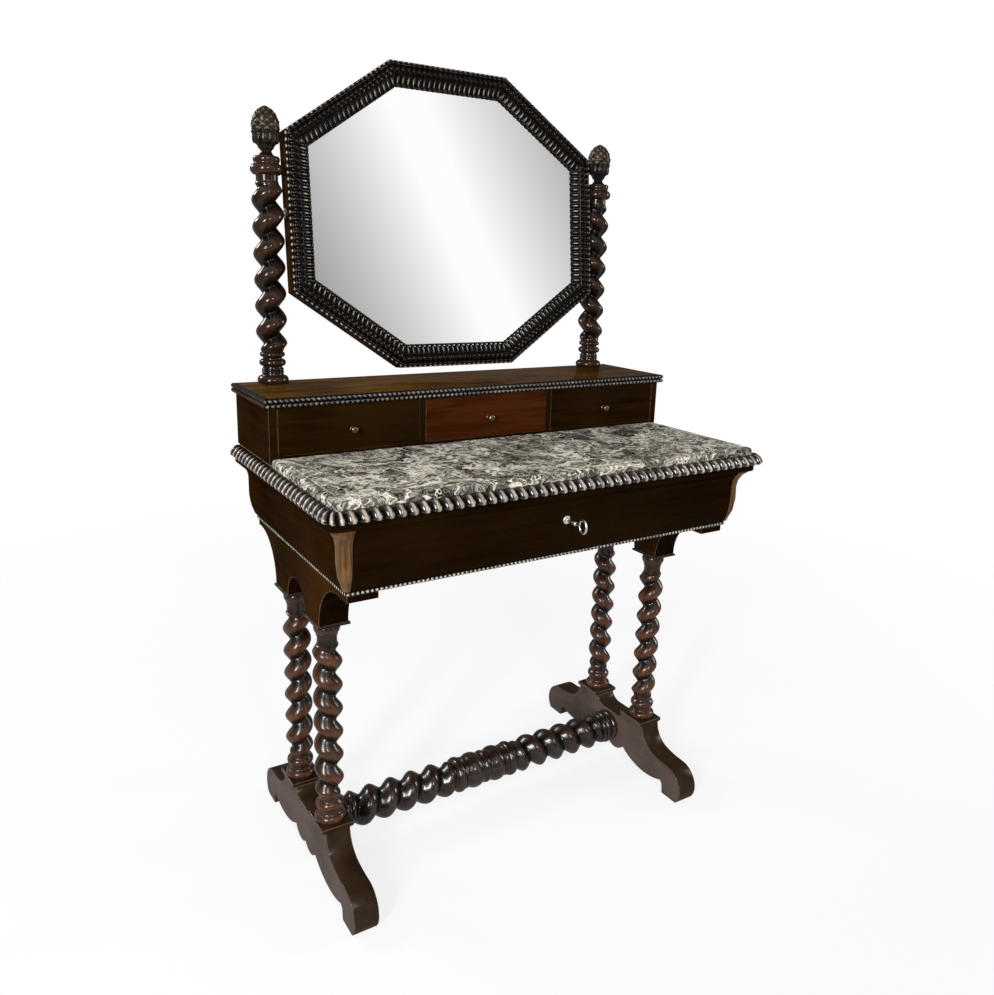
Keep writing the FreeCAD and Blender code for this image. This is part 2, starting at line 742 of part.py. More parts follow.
def make_top():
    """The top board, the panel on it, the marble slab and the gadrooned rim round it."""
    body = new_body("top_board_blank")
    plan = rounded_plan("case_plan_x + top_board_out", "case_plan_depth + top_board_out",
                        "top_board_round", "0")
    pad(body, "XY_Plane", "frieze_top", "top_board_thick", plan)
    wide = "(bolt_wide / 2 + 2 * bolt_gap)"
    mortise = board("bolt_mortise", f"key_x - {wide}", f"key_x + {wide}",
                    "bolt_rear_depth + bolt_thick + 2 * bolt_gap", "bolt_rear_depth - 2 * bolt_gap",
                    "frieze_top", "frieze_top + bolt_throw + 2 * bolt_gap")
    cut("top_board", body, mortise)

    body = new_body("top_panel")
    inner_x = "marble_x - marble_gap"
    corner = "marble_corner - marble_gap"
    front = "marble_front_depth - marble_gap"
    pad(body, "XY_Plane", "top_height", "top_panel_thick", rounded_plan(inner_x, front, corner, "0"))
    pad(body, "XY_Plane", "top_height + top_panel_thick", "2 * rim_radius - top_panel_thick",
        rectangle(f"-({inner_x})", inner_x, "-upper_depth", "0"))
    keep(body)

    body = new_body("marble_top")
    slab = pad(body, "XY_Plane", "top_height + top_panel_thick", "marble_thick",
               rounded_plan(inner_x, front, corner, "upper_depth + marble_gap"))
    doc.recompute()
    top = size("marble_top_height") - size("marble_gap")
    rear = -size("upper_depth") - size("marble_corner")
    edges = [f"Edge{number}" for number, edge in enumerate(slab.Shape.Edges, 1)
             if edge.BoundBox.ZMin > top and edge.BoundBox.YMin < rear]
    rounding = body.newObject("PartDesign::Fillet", "marble_edge")
    rounding.Base = (slab, edges)
    rounding.setExpression("Radius", linked("marble_edge_round"))
    keep(body)

    radius = size("rim_radius")
    low = size("top_height")
    profile = [(0.0, low)] + half_round(size("rim_seat"), low + radius, radius)
    profile.append((0.0, low + 2 * radius))
    runs = edge_runs(size("marble_x"), size("marble_front_depth"), size("marble_corner"))
    for name, stations in zip(("rim_left", "rim_front", "rim_right"), runs):
        keep(set_down(name, moulding(profile, stations)))


# The long drawer and its lock


def make_long_drawer():
    """The ogee front, the box behind it, the escutcheon, lock, bolt and key."""
    body = new_body("long_drawer_front_blank")
    face = ogee_outline("case_plan_depth", "drawer_front_rear_depth", "drawer_foot",
                        "frieze_top - drawer_lift")
    pad(body, "YZ_Plane", "-(case_plan_x - drawer_gap)", "2 * (case_plan_x - drawer_gap)",
        mirrored(face))
    key_place = ("key_x", "drawer_front_rear_depth - lock_thick", "key_height")
    hole = ("key_shaft + key_fit", "front_depth - drawer_front_rear_depth + 2 * lock_thick")
    cut("long_drawer_front", body, rod("key_way", *hole, *key_place))

    box = ("drawer_front_rear_depth", "drawer_back_depth", "drawer_foot",
           "drawer_side_top")
    inner = "(drawer_side_x - drawer_side_thick)"
    group("long_drawer_sides", [board("long_side_left", "-drawer_side_x", f"-{inner}", *box),
                                board("long_side_right", inner, "drawer_side_x", *box)])
    keep(board("long_drawer_back", f"-{inner}", inner, "drawer_back_depth + drawer_side_thick",
               "drawer_back_depth", "drawer_foot + drawer_bottom_lift + drawer_bottom_thick",
               "drawer_side_top"))
    keep(board("long_drawer_bottom", f"-{inner}", inner, "drawer_front_rear_depth",
               "drawer_back_depth", "drawer_foot + drawer_bottom_lift",
               "drawer_foot + drawer_bottom_lift + drawer_bottom_thick"))

    inner = size("key_shaft + key_fit") / math.cos(math.pi / key_sides)
    outer = size("escutcheon_radius")
    thick = size("escutcheon_thick")
    loops = []
    for side in range(key_sides):
        way = Vector(math.cos(2 * math.pi * side / key_sides), 0,
                     math.sin(2 * math.pi * side / key_sides))
        loops.append([way * inner, way * outer, way * outer + Vector(0, -thick / 2, 0),
                      way * (outer + inner) / 2 + Vector(0, -thick, 0),
                      way * inner + Vector(0, -thick, 0)])
    keep(set_down("escutcheon", skin(loops, closed=True, split=True), "key_x", "front_depth",
                  "key_height"))

    wide = "lock_wide / 2"
    shell = board("lock_blank", f"key_x - {wide}", f"key_x + {wide}", "drawer_front_rear_depth",
                  "drawer_front_rear_depth - lock_thick", "key_height - lock_foot_drop",
                  "frieze_top - drawer_lift")
    bolt_x = ("key_x - bolt_wide / 2", "key_x + bolt_wide / 2")
    slot = board("bolt_way", f"{bolt_x[0]} - bolt_gap", f"{bolt_x[1]} + bolt_gap",
                 "bolt_rear_depth + bolt_thick + bolt_gap", "bolt_rear_depth - bolt_gap",
                 "bolt_foot - bolt_gap", "frieze_top")
    cut("lock_case", shell, slot, rod("lock_way", *hole, *key_place))
    keep(board("lock_bolt", *bolt_x, "bolt_rear_depth + bolt_thick", "bolt_rear_depth", "bolt_foot",
               "frieze_top - drawer_lift - bolt_gap"))

    lock_in = size("front_depth - drawer_front_rear_depth + lock_thick / 2")
    shaft = size("key_shaft")
    collar = size("key_collar")
    collar_out = size("key_collar_out")
    collar_half = size("key_collar_long / 2")
    rings = [(-lock_in, 0.0, 0.0, shaft), (collar_out, 0.0, 0.0, shaft),
             (collar_out + collar_half / 2, 0.0, 0.0, collar),
             (collar_out + 3 * collar_half / 2, 0.0, 0.0, collar),
             (collar_out + 2 * collar_half, 0.0, 0.0, shaft),
             (size("key_bow_out + key_wire"), 0.0, 0.0, shaft)]
    bar = set_down("key_bar", stacked(rings, key_sides, forward), "key_x", "front_depth", "key_height")
    wire = size("key_wire")
    half_long = size("key_bow_long") / 2 - wire
    half_tall = size("key_bow_tall") / 2 - wire
    loops = []
    for step in range(key_bow_steps):
        angle = 2 * math.pi * step / key_bow_steps
        place = Vector(0, -half_long * math.cos(angle), half_tall * math.sin(angle))
        way = Vector(0, -math.cos(angle), math.sin(angle))
        loops.append([place + way * wire * math.cos(turn) + Vector(wire * math.sin(turn), 0, 0)
                      for turn in [2 * math.pi * side / small_sides for side in range(small_sides)]])
    bow = set_down("key_bow", skin(loops, closed=True, split=True), "key_x",
                   "front_depth + key_bow_out + key_bow_long / 2", "key_height")
    key = doc.addObject("Part::MultiFuse", "key")
    key.Shapes = [bar, bow]
    keep(key)


# The upper case and its three drawers


def make_upper_case():
    """Bottom, sides, back, dividers, top and the reeded moulding round its edge."""
    keep(board("case_bottom", "-upper_inner_x", "upper_inner_x", "upper_depth", "0", "rim_top",
               "upper_floor"))
    wall = ("upper_depth", "0", "rim_top", "upper_top")
    keep(board("case_side_left", "-upper_x", "-upper_inner_x", *wall))
    keep(board("case_side_right", "upper_inner_x", "upper_x", *wall))
    keep(board("case_back", "-upper_inner_x", "upper_inner_x", "upper_back_thick", "0",
               "upper_floor", "upper_top"))
    half = "divider_thick / 2"
    divider = ("upper_depth", "upper_back_thick", "upper_floor", "upper_top")
    group("case_dividers", [
        board("divider_left", f"-divider_x - {half}", f"-divider_x + {half}", *divider),
        board("divider_right", f"divider_x - {half}", f"divider_x + {half}", *divider)])
    keep(board("case_top", "-upper_x", "upper_x", "upper_depth", "0", "upper_top", "upper_lid"))
    low = size("upper_top")
    reed = size("upper_top_thick") / 4
    seat = size("upper_mould_seat")
    out = size("upper_mould_out - upper_mould_seat")
    profile = [(0.0, low)]
    for height in (low + reed, low + 3 * reed):
        profile += [(seat + (place - seat) * out / reed, level)
                    for place, level in half_round(seat, height, reed)]
    profile.append((0.0, low + 4 * reed))
    profile = [point for number, point in enumerate(profile) if point not in profile[:number]]
    left, front, right = edge_runs(size("upper_x"), size("upper_depth"), 0.0)
    mitre_left = (front[0][0], Vector(-1, -1, 0))
    mitre_right = (front[-1][0], Vector(1, -1, 0))
    keep(set_down("case_moulding_front", moulding(profile, [mitre_left, mitre_right])))
    sides = Part.makeCompound([moulding(profile, [left[0], mitre_left]),
                               moulding(profile, [mitre_right, right[-1]])])
    keep(set_down("case_moulding_sides", sides))


def make_small_drawers():
    """Three flush drawers, each a front, a three-sided box, a bottom and a knob."""
    rooms = (("left", "-upper_inner_x", "-divider_x - divider_thick / 2", "-knob_x"),
             ("middle", "-divider_x + divider_thick / 2", "divider_x - divider_thick / 2", "0"),
             ("right", "divider_x + divider_thick / 2", "upper_inner_x", "knob_x"))
    for name, room_left, room_right, knob_x in rooms:
        left = f"{room_left} + small_gap"
        right = f"{room_right} - small_gap"
        rear = "upper_depth - small_front_thick"
        keep(board(f"{name}_drawer_front", left, right, "upper_depth", rear, "small_foot",
                   "upper_top - small_gap"))
        inner_left = f"{left} + small_wall"
        inner_right = f"{right} - small_wall"
        back = "small_box_back_depth"
        body = new_body(f"{name}_drawer_box")
        pad(body, "XY_Plane", "small_foot", "small_wall_tall",
            [(left, f"-({rear})"), (inner_left, f"-({rear})"),
             (inner_left, f"-({back} + small_wall)"), (inner_right, f"-({back} + small_wall)"),
             (inner_right, f"-({rear})"), (right, f"-({rear})"),
             (right, f"-({back})"), (left, f"-({back})")])
        keep(body)
        keep(board(f"{name}_drawer_bottom", inner_left, inner_right, rear, f"{back} + small_wall",
                   "small_foot + small_bottom_lift",
                   "small_foot + small_bottom_lift + small_bottom_thick"))
        rings = turned_rings(knob_shares, 0.0, size("knob_long"), size("knob_radius"))
        knob = stacked(rings, turned_sides, forward)
        keep(set_down(f"{name}_drawer_knob", knob, knob_x, "upper_depth", "knob_height"))


# The mirror


def make_posts():
    """Twist posts of opposite hand, each bored for a pivot, and their finials."""
    low = size("upper_lid")
    high = size("post_neck_height")
    foot = size("post_foot_turning")
    head = size("post_head_turning")
    ring = size("post_ring")
    # side, hand of the twist, and the way the lobe points at a share of the height
    posts = (("left", -1, 1, -17.4, 0.855), ("right", 1, -1, -38.3, 0.766))
    for name, side, hand, towards, mark_share in posts:
        mark = low + (high - low) * mark_share
        rings = turned_rings(post_foot_shares, low, foot, ring)
        rings += twist_rings("post", low + foot, high - head, hand, towards, mark)
        rings += turned_rings(post_head_shares, high - head, head, ring)
        blank = set_down(f"post_{name}_blank", stacked(rings, turned_sides, upright),
                         f"{side} * post_x", "post_depth")
        bore = doc.addObject("Part::Cylinder", f"post_{name}_bore")
        bore.Placement = FreeCAD.Placement(Vector(), FreeCAD.Rotation(Vector(0, side, 0), 90))
        bore.setExpression("Radius", linked("pivot_pin + pivot_fit"))
        bore.setExpression("Height", linked("pivot_plate_thick + pivot_pin_long + small_gap"))
        bore.setExpression("Placement.Base.x", linked(f"{side} * mirror_half_wide"))
        bore.setExpression("Placement.Base.y", linked("back_y - post_depth"))
        bore.setExpression("Placement.Base.z", linked("pivot_height"))
        cut(f"post_{name}", blank, bore)
        rings = turned_rings(finial_shares, high, size("finial_tall"), size("finial_ring"))
        finial = stacked(rings, turned_sides, upright)
        keep(set_down(f"finial_{name}", finial, f"{side} * post_x", "post_depth"))


def octagon(inset):
    """The mirror's eight corners, moved in from its outer edge, from the right side upwards."""
    half_wide = size("mirror_half_wide")
    half_tall = size("mirror_half_tall")
    across = half_wide - size("mirror_half_top")
    up = half_tall - size("mirror_half_side")
    length = math.hypot(across, up)
    reach = (size("mirror_half_top") * up + half_tall * across) / length - inset
    top = (reach * length - (half_tall - inset) * across) / up
    side = (reach * length - (half_wide - inset) * up) / across
    quarter = [(half_wide - inset, side), (top, half_tall - inset)]
    half = quarter + [(-x, z) for x, z in quarter[::-1]]
    return half + [(-x, -z) for x, z in half]


def lean(piece):
    """The mirror's rest: leaning back on its pivots."""
    place = Vector(0, size("back_y - post_depth"), size("pivot_height"))
    angle = math.degrees(math.asin(size("mirror_top_back / mirror_half_tall")))
    turn = FreeCAD.Rotation(Vector(1, 0, 0), -angle)
    piece.Placement = FreeCAD.Placement(place, turn)
    return keep(piece)


def make_mirror():
    """The rippled frame mitred round the octagon, the glass, the back board and the pivots."""
    wide = size("mirror_frame_wide")
    deep = size("mirror_frame_deep")
    front = -size("mirror_frame_front")
    profile = [(0.0, front + deep)]
    profile += [(wide * across, front + deep * down) for across, down in mirror_face_shares]
    glass = -size("mirror_glass_set")
    lip = size("mirror_lip")
    profile += [(wide, glass), (wide - lip, glass), (wide - lip, front + deep)]
    corners = [octagon(inset) for inset, _ in profile]
    loops = [[Vector(corners[point][corner][0], profile[point][1], corners[point][corner][1])
              for point in range(len(profile))] for corner in range(len(corners[0]))]
    frame = doc.addObject("Part::Feature", "mirror_frame")
    frame.Shape = skin(loops, closed=True)
    lean(frame)
    for name, near, thick in (("mirror_glass", "mirror_glass_set - mirror_glass_thick",
                               "mirror_glass_thick"),
                              ("mirror_backboard",
                               "mirror_glass_set - mirror_glass_thick - mirror_board_thick",
                               "mirror_board_thick")):
        plate = doc.addObject("Part::Extrusion", name)
        points = [Vector(x, -size(near), z) for x, z in octagon(size("glass_inset"))]
        outline = doc.addObject("Part::Feature", f"{name}_outline")
        outline.Shape = polygon(points)
        plate.Base = outline
        plate.DirMode = "Custom"
        plate.Dir = Vector(0, -1, 0)
        plate.setExpression("LengthFwd", linked(thick))
        plate.Solid = True
        lean(plate)
    pins = []
    for side in (-1, 1):
        plate = size("pivot_plate_thick")
        rings = [(0.0, 0.0, 0.0, size("pivot_plate")), (plate, 0.0, 0.0, size("pivot_plate")),
                 (plate, 0.0, 0.0, size("pivot_pin")),
                 (plate + size("pivot_pin_long"), 0.0, 0.0, size("pivot_pin"))]
        start = size("mirror_half_wide")
        pins.append(stacked([(side * (start + along), across, over, radius)
                             for along, across, over, radius in rings], key_sides, sideways))
    pivots = doc.addObject("Part::Feature", "mirror_pivots")
    pivots.Shape = Part.makeCompound(pins)
    lean(pivots)


def check_and_write():
    """Each sub-part is tested before any is written."""
    doc.recompute()
    for piece in doc.Objects:
        if "Invalid" in piece.State or "Error" in piece.State:
            raise RuntimeError(f"{piece.Name} did not build: {piece.State}")
    for piece in nodes:
        if piece.Shape.isNull() or not piece.Shape.isValid() or not piece.Shape.Solids:
            raise RuntimeError(f"{piece.Name} has no sound shape")
        if min(solid.Volume for solid in piece.Shape.Solids) <= 0:
            raise RuntimeError(f"{piece.Name} is inside out")
    for piece in nodes:
        piece.Shape.exportStep(f"parts/{piece.Label}.step")
        box = piece.Shape.BoundBox
        print(f"{piece.Label}: {len(piece.Shape.Solids)} solid, X {box.XMin:.1f} to {box.XMax:.1f},"
              f" Y {box.YMin:.1f} to {box.YMax:.1f}, Z {box.ZMin:.1f} to {box.ZMax:.1f}")
    print(len(nodes), "sub-parts")


make_feet()
make_legs()
make_stretcher()
make_brackets()
make_case()
make_bead()
make_top()
make_long_drawer()
make_upper_case()
make_small_drawers()
make_posts()
make_mirror()
check_and_write()
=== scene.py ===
import json
import math

import bmesh
import bpy
import numpy as np
from bpy.props import FloatProperty, FloatVectorProperty, IntProperty, PointerProperty
from mathutils import Matrix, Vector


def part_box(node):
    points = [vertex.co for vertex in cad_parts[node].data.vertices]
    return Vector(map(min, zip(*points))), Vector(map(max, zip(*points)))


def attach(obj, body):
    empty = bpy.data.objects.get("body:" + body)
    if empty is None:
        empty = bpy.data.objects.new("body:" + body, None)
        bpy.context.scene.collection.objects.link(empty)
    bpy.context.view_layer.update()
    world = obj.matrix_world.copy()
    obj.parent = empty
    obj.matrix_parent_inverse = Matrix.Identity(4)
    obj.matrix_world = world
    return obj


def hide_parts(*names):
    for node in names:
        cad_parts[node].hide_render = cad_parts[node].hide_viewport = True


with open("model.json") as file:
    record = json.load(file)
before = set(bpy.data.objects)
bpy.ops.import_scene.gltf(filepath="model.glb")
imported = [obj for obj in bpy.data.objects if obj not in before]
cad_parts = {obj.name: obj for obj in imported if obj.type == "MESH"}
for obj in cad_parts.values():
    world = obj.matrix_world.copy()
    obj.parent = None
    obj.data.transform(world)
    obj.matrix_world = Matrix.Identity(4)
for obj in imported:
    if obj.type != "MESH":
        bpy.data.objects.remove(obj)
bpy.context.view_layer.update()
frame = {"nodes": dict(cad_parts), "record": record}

bl_info = {
    "name": "Dressing Table",
    "version": (1, 0, 0),
    "blender": (4, 5, 0),
    "location": "View3D > Sidebar > Dressing Table",
    "description": "Turned, carved and polished surfaces of a dressing table on its packed frame",
    "category": "Object",
}

MM = 0.001
ROUND = 2 * math.pi
BACK = 0.24925           # the table's back plane; depths are measured forward from it
PIVOT = (0.0, 0.22225, 1.213)


# Sizes and colours that a user would change


def metres(name, description, value):
    return FloatProperty(name=name, description=description, default=value, unit="LENGTH")


def factor(name, description, value):
    return FloatProperty(name=name, description=description, default=value, min=0.0, max=1.0,
                         subtype="FACTOR")


def tint(name, description, *value):
    return FloatVectorProperty(name=name, description=description, default=value, size=3,
                               subtype="COLOR")


class TwistSizes(bpy.types.PropertyGroup):
    """Sizes of the twist turnings."""
    leg_core: metres("Leg core", "Mean radius of a leg's twist", 0.020)
    leg_throw: metres("Leg throw", "How far the leg's rope stands out", 0.0065)
    leg_pitch: metres("Leg pitch", "Height of one turn of a leg", 0.046)
    post_core: metres("Post core", "Mean radius of a post's twist", 0.021)
    post_throw: metres("Post throw", "How far the post's rope stands out", 0.0075)
    post_pitch: metres("Post pitch", "Height of one turn of a post", 0.047)
    stretcher_core: metres("Stretcher core", "Mean radius of the stretcher", 0.030)
    stretcher_throw: metres("Stretcher throw", "How far its rope stands out", 0.0068)
    stretcher_pitch: metres("Stretcher pitch", "Length of one turn of it", 0.0464)
    groove: factor("Groove", "How sharp the groove between turns is", 0.62)


class MouldingSizes(bpy.types.PropertyGroup):
    """Sizes of the carved mouldings."""
    rim_wide: metres("Rim width", "How far the gadrooned rim stands out", 0.0229)
    rim_tall: metres("Rim height", "Height of the gadrooned rim", 0.0203)
    rim_front_lobes: IntProperty(name="Front lobes", description="Gadroons along the front",
                                 default=43)
    rim_side_lobes: IntProperty(name="Side lobes", description="Gadroons along each side",
                                default=25)
    rim_groove: factor("Rim groove", "Depth of the gaps as a share of the radius", 0.46)
    bead_radius: metres("Bead", "Radius of the bead under the ogee", 0.004)
    bead_pitch: metres("Bead pitch", "Distance between its beads", 0.008)
    pearl_pitch: metres("Pearl pitch", "Distance between the upper pearls", 0.0095)


class MirrorSizes(bpy.types.PropertyGroup):
    """Sizes of the eight-sided mirror."""
    half_wide: metres("Half width", "Half the mirror's width", 0.3438)
    half_tall: metres("Half height", "Half the mirror's height", 0.2904)
    half_top: metres("Half top", "Half the length of the top side", 0.130)
    half_side: metres("Half side", "Half the length of an upright side", 0.1433)
    ripple_pitch: metres("Ripple pitch", "Distance between the ripples", 0.0114)
    ripple_depth: metres("Ripple depth", "Depth of the gaps between ripples", 0.0030)
    top_back: metres("Lean", "How far the top leans behind the pivots", 0.0304)


class FinishColours(bpy.types.PropertyGroup):
    """Colours of the finishes."""
    wood_dark: tint("Dark wood", "Deep colour of the polished wood", 0.0042, 0.0014, 0.0003)
    wood_light: tint("Wood figure", "Lighter streaks of the wood", 0.018, 0.0075, 0.0011)
    wood_red: tint("Red wood", "Figure of the middle drawer", 0.075, 0.019, 0.0042)
    wood_warm: tint("Warm wood", "Worn polish of the top and sides", 0.098, 0.046, 0.0105)
    polish: tint("Black polish", "Stain in the grooves of the turnings", 0.0062, 0.0028, 0.0016)
    polish_worn: tint("Worn polish", "Crests of the turnings", 0.100, 0.034, 0.011)
    # Painted highlight: the pale tops of the small pearls of the case moulding
    pearl_highlight: tint("Worn pearls", "Rubbed tops of the small beads", 0.13, 0.115, 0.100)
    veneer: tint("Corner veneer", "Orange veneer of the corners", 0.20, 0.100, 0.036)
    plain: tint("Plain wood", "Unpolished wood inside", 0.30, 0.18, 0.095)
    stone: tint("Marble", "Ground of the marble", 0.015, 0.016, 0.012)
    vein: tint("Marble veins", "Veins of the marble", 0.90, 0.84, 0.70)
    steel: tint("Steel", "Key, plate and lock", 0.95, 0.93, 0.88)
    brass: tint("Brass", "Old dark brass of the knobs", 0.19, 0.13, 0.088)


class StudioSettings(bpy.types.PropertyGroup):
    """Light and background."""
    background: tint("Background", "Colour behind the table", 1.0, 1.0, 1.0)
    room: FloatProperty(name="Room light", description="Strength of the even light", default=0.34)
    key_power: FloatProperty(name="Key light", description="Power of the tall light",
                             default=132.0, subtype="POWER")


# Shaping


def arcs(start, *runs, steps=7):
    """An outline as rows (along, out) in millimetres. Each run (along, out, bulge) goes on by the
    arc of a circle whose middle stands off its chord by the bulge, outward where the bulge is
    above zero."""
    rows = [np.array([start], float)]
    here = rows[0][0]
    for along, out, bulge in runs:
        there = np.array((along, out), float)
        chord = there - here
        span = math.hypot(*chord)
        if abs(bulge) < 1e-6:
            rows.append(there[None])
        else:
            half = 2 * math.atan(2 * bulge / span)
            turn = np.linspace(-half, half, steps + 1)[1:, None]
            off = np.array((-chord[1], chord[0])) / (2 * math.sin(half))
            rows.append(here + chord * (0.5 + np.sin(turn) / (2 * math.sin(half)))
                        + off * (np.cos(turn) - math.cos(half)))
        here = there
    return np.concatenate(rows)


def grid_shell(grid, crest=1.0, ring=False):
    """A skin over grid (rows, round, 3): each row is a closed loop joined to the next, and the
    first and last rows are filled flat unless the rows close in a ring."""
    rows, cols = grid.shape[:2]
    index = np.arange(rows * cols).reshape(rows, cols)
    low = index if ring else index[:-1]
    high = np.roll(index, -1, 0) if ring else index[1:]
    quads = np.stack([low, np.roll(low, -1, 1), np.roll(high, -1, 1), high], -1).reshape(-1, 4)
    ends = [] if ring else [index[0][::-1], index[-1]]
    return grid.reshape(-1, 3), quads, ends, np.broadcast_to(crest, (rows, cols)).reshape(-1)


def signed_volume(points, quads, ends):
    """Six times the room inside the skin, below zero where its faces point inwards."""
    a, b, c, d = (points[quads[:, side]] for side in range(4))
    total = np.einsum("ij,ij->", a, np.cross(b, c)) + np.einsum("ij,ij->", a, np.cross(c, d))
    for end in ends:
        fan = points[end]
        total += np.einsum("ij,ij->", np.broadcast_to(fan[0], fan[1:-1].shape),
                           np.cross(fan[1:-1], fan[2:]))
    return total


def finish(name):
    return bpy.data.materials[name]


def put_mesh(name, shells, material, replaces, body="table", sharp=40.0):
    """A piece from shells (points, quads, ends, crest), each turned to face outwards."""
    places, faces, crests, count = [], [], [], 0
    for points, quads, ends, crest in shells:
        if signed_volume(points, quads, ends) < 0:
            quads, ends = quads[:, ::-1], [end[::-1] for end in ends]
        faces += (quads + count).tolist() + [(end + count).tolist() for end in ends]
        places.append(points)
        crests.append(crest)
        count += len(points)
    mesh = bpy.data.meshes.new(name)
    mesh.from_pydata(np.concatenate(places), [], faces)
    mesh.attributes.new("crest", "FLOAT", "POINT").data.foreach_set(
        "value", np.concatenate(crests).astype(np.float32))
    mesh.shade_smooth()
    mesh.set_sharp_from_angle(angle=math.radians(sharp))
    mesh.validate()
    return put_piece(name, mesh, material, replaces, body)


def put_piece(name, mesh, material, replaces, body):
    """The mesh's piece: it gets its finish, rides on its body and stands for its CAD nodes."""
    piece = bpy.data.objects.new(name, mesh)
    bpy.context.scene.collection.objects.link(piece)
    mesh.materials.append(finish(material))
    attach(piece, body)
    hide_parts(*replaces)
    return piece


def eased_copy(node, material, width, edge=None, across=None, body="table"):
    """The CAD piece's own form with its loose triangles joined and its corners eased, with one
    finish for rubbed edges painted with a highlight, and one across the faces that look neither
    left nor right, so that these faces and the sides are painted lit and shaded apart."""
    name = f"{node}_eased"
    form = bmesh.new()
    form.from_mesh(frame["nodes"][node].data)
    bmesh.ops.remove_doubles(form, verts=form.verts, dist=1e-6)
    bmesh.ops.dissolve_limit(form, angle_limit=math.radians(0.5), verts=form.verts,
                             edges=form.edges)
    mesh = bpy.data.meshes.new(name)
    form.to_mesh(mesh)
    form.free()
    mesh.shade_smooth()
    piece = put_piece(name, mesh, material, (node,), body)
    ease = piece.modifiers.new("eased_edges", "BEVEL")
    ease.width, ease.segments = width, 2
    ease.limit_method, ease.angle_limit = "ANGLE", math.radians(25)
    ease.harden_normals = True
    # Rubbed edges with a painted highlight: the bevel's faces take the edge finish
    if edge is not None:
        mesh.materials.append(finish(edge))
        ease.material = 1
    # Painted light and shade: the faces that look neither left nor right take their own lighter or
    # darker finish
    if across is not None:
        mesh.materials.append(finish(across))
        ways = np.empty(len(mesh.polygons) * 3, np.float32)
        mesh.polygons.foreach_get("normal", ways)
        mesh.polygons.foreach_set("material_index",
                                  np.where(np.abs(ways[::3]) < 0.5, 2, 0).astype(np.int32))


def dress(node, material):
    """A finish for a CAD node that keeps its own surface."""
    mesh = frame["nodes"][node].data
    mesh.materials.clear()
    mesh.materials.append(finish(material))


# Turning. A way sets an outline's axis: up, along x, or forward out of the front.


def upright(along, across, over):
    return np.stack([across, over, along], -1)


def sideways(along, across, over):
    return np.stack([along, across, over], -1)


def forward(along, across, over):
    return np.stack([across, -along, over], -1)


def twist_of(sizes, piece, low, high, fade, hand, towards, mark):
    """A twist from low to high, fading at both ends, whose rope faces the angle at the mark."""
    return {"low": low, "high": high, "fade": fade, "hand": hand, "towards": towards, "mark": mark,
            "pitch": getattr(sizes, piece + "_pitch"), "throw": getattr(sizes, piece + "_throw"),
            "groove": sizes.groove}


def rope(angle, along, twist):
    """How far a twist stands out, and its crest from 0 in the groove to 1 on the rope. With the
    phase measured round from the rope's own line, the crest is a mix of the half-angle's cosine,
    which leaves a sharp groove, and a plain cosine."""
    turns = ROUND * (along - twist["mark"]) / twist["pitch"]
    phase = angle - math.radians(twist["towards"]) - twist["hand"] * turns
    crest = (twist["groove"] * np.abs(np.cos(phase / 2))
             + (1 - twist["groove"]) * (1 + np.cos(phase)) / 2)
    share = np.clip(np.minimum(along - twist["low"], twist["high"] - along) / twist["fade"], 0, 1)
    return twist["throw"] * share * (2 * crest - 1), np.where(share > 0, crest, 0.5)


def carried_round(line, sides):
    """An outline in millimetres as grids (rows, sides) of its length, radius and angle."""
    line = line * MM
    return (np.repeat(line[:, :1], sides, 1), np.repeat(line[:, 1:], sides, 1),
            np.linspace(0, ROUND, sides, endpoint=False)[None])


def turned(line, way, centre, sides=48, twist=None):
    """A turning: the outline (along, radius) carried round its axis, with a rope added where the
    twist runs."""
    along, radius, angle = carried_round(line, sides)
    low, high = radius.min(), radius.max()
    crest = 0.4 + 0.6 * (radius - low) / max(high - low, 1e-6)
    if twist:
        out, ridge = rope(angle, along, twist)
        inside = (along > twist["low"]) & (along < twist["high"])
        radius = np.where(inside, radius + out, radius)
        crest = np.where(inside, ridge, crest)
    grid = way(along, radius * np.cos(angle), radius * np.sin(angle)) + np.array(centre)
    return grid_shell(grid, crest)


def twist_line(sizes, piece, foot, low, high, head, per_turn=22):
    """An outline in millimetres: a turned foot, rows close enough for a twist, a turned head."""
    core, pitch = getattr(sizes, piece + "_core") / MM, getattr(sizes, piece + "_pitch") / MM
    along = np.linspace(low, high, int((high - low) / pitch * per_turn) + 1)
    rows = np.stack([along, np.full_like(along, core)], -1)
    return np.concatenate([arcs(*foot), rows, arcs(*head)])


LEG_FOOT = ((132, 26.6), (146, 22.6, 3.6), (151, 20.4, -0.8), (155, 20.4, 0), (172, 20.4, 5.1),
            (178, 19.4, -0.6), (181.5, 20, 0))
LEG_HEAD = ((479, 18.5), (482, 18.0, 0), (497, 18.2, -0.5), (499, 19.6, 0.4), (502, 19.8, -0.2),
            (520, 20.6, 3.4), (524, 22, 0.4))
POST_FOOT = ((902, 26), (916, 25, 3.4), (921, 19, -1.6), (926, 18.8, 1.7), (931, 18.4, 1.7),
             (935, 17.8, -0.3), (948, 17.8, 6.8), (952, 18, -0.5), (961, 19.6, 4.4),
             (964.5, 21, 0))
POST_HEAD = ((1263, 21), (1270, 19.5, -0.6), (1277, 19.5, 0), (1296, 23, 8.0), (1299, 22.4, -0.4),
             (1309, 21.5, 1.8), (1317, 9.5, -2.6))
STRETCHER_MIDDLE = ((0, 34), (5, 31.6, 0.9), (11, 31, -0.5), (43, 31, 6.0), (47, 30.6, -0.4),
                    (54, 31, 2.4), (74, 29.6, 6.4), (77.5, 30, -0.3))
STRETCHER_END = ((311, 29), (315, 28.6, -0.4), (324, 31, 3.6), (338, 31, 4.6), (341, 30.6, -0.4),
                 (352.5, 33, 3.0))
KNOB = ((0, 4.6), (2, 4.6, 0.3), (3.4, 3.1, -0.2), (7, 3.1, -0.2), (13, 7.2, 1.3), (17, 2.0, 1.2))
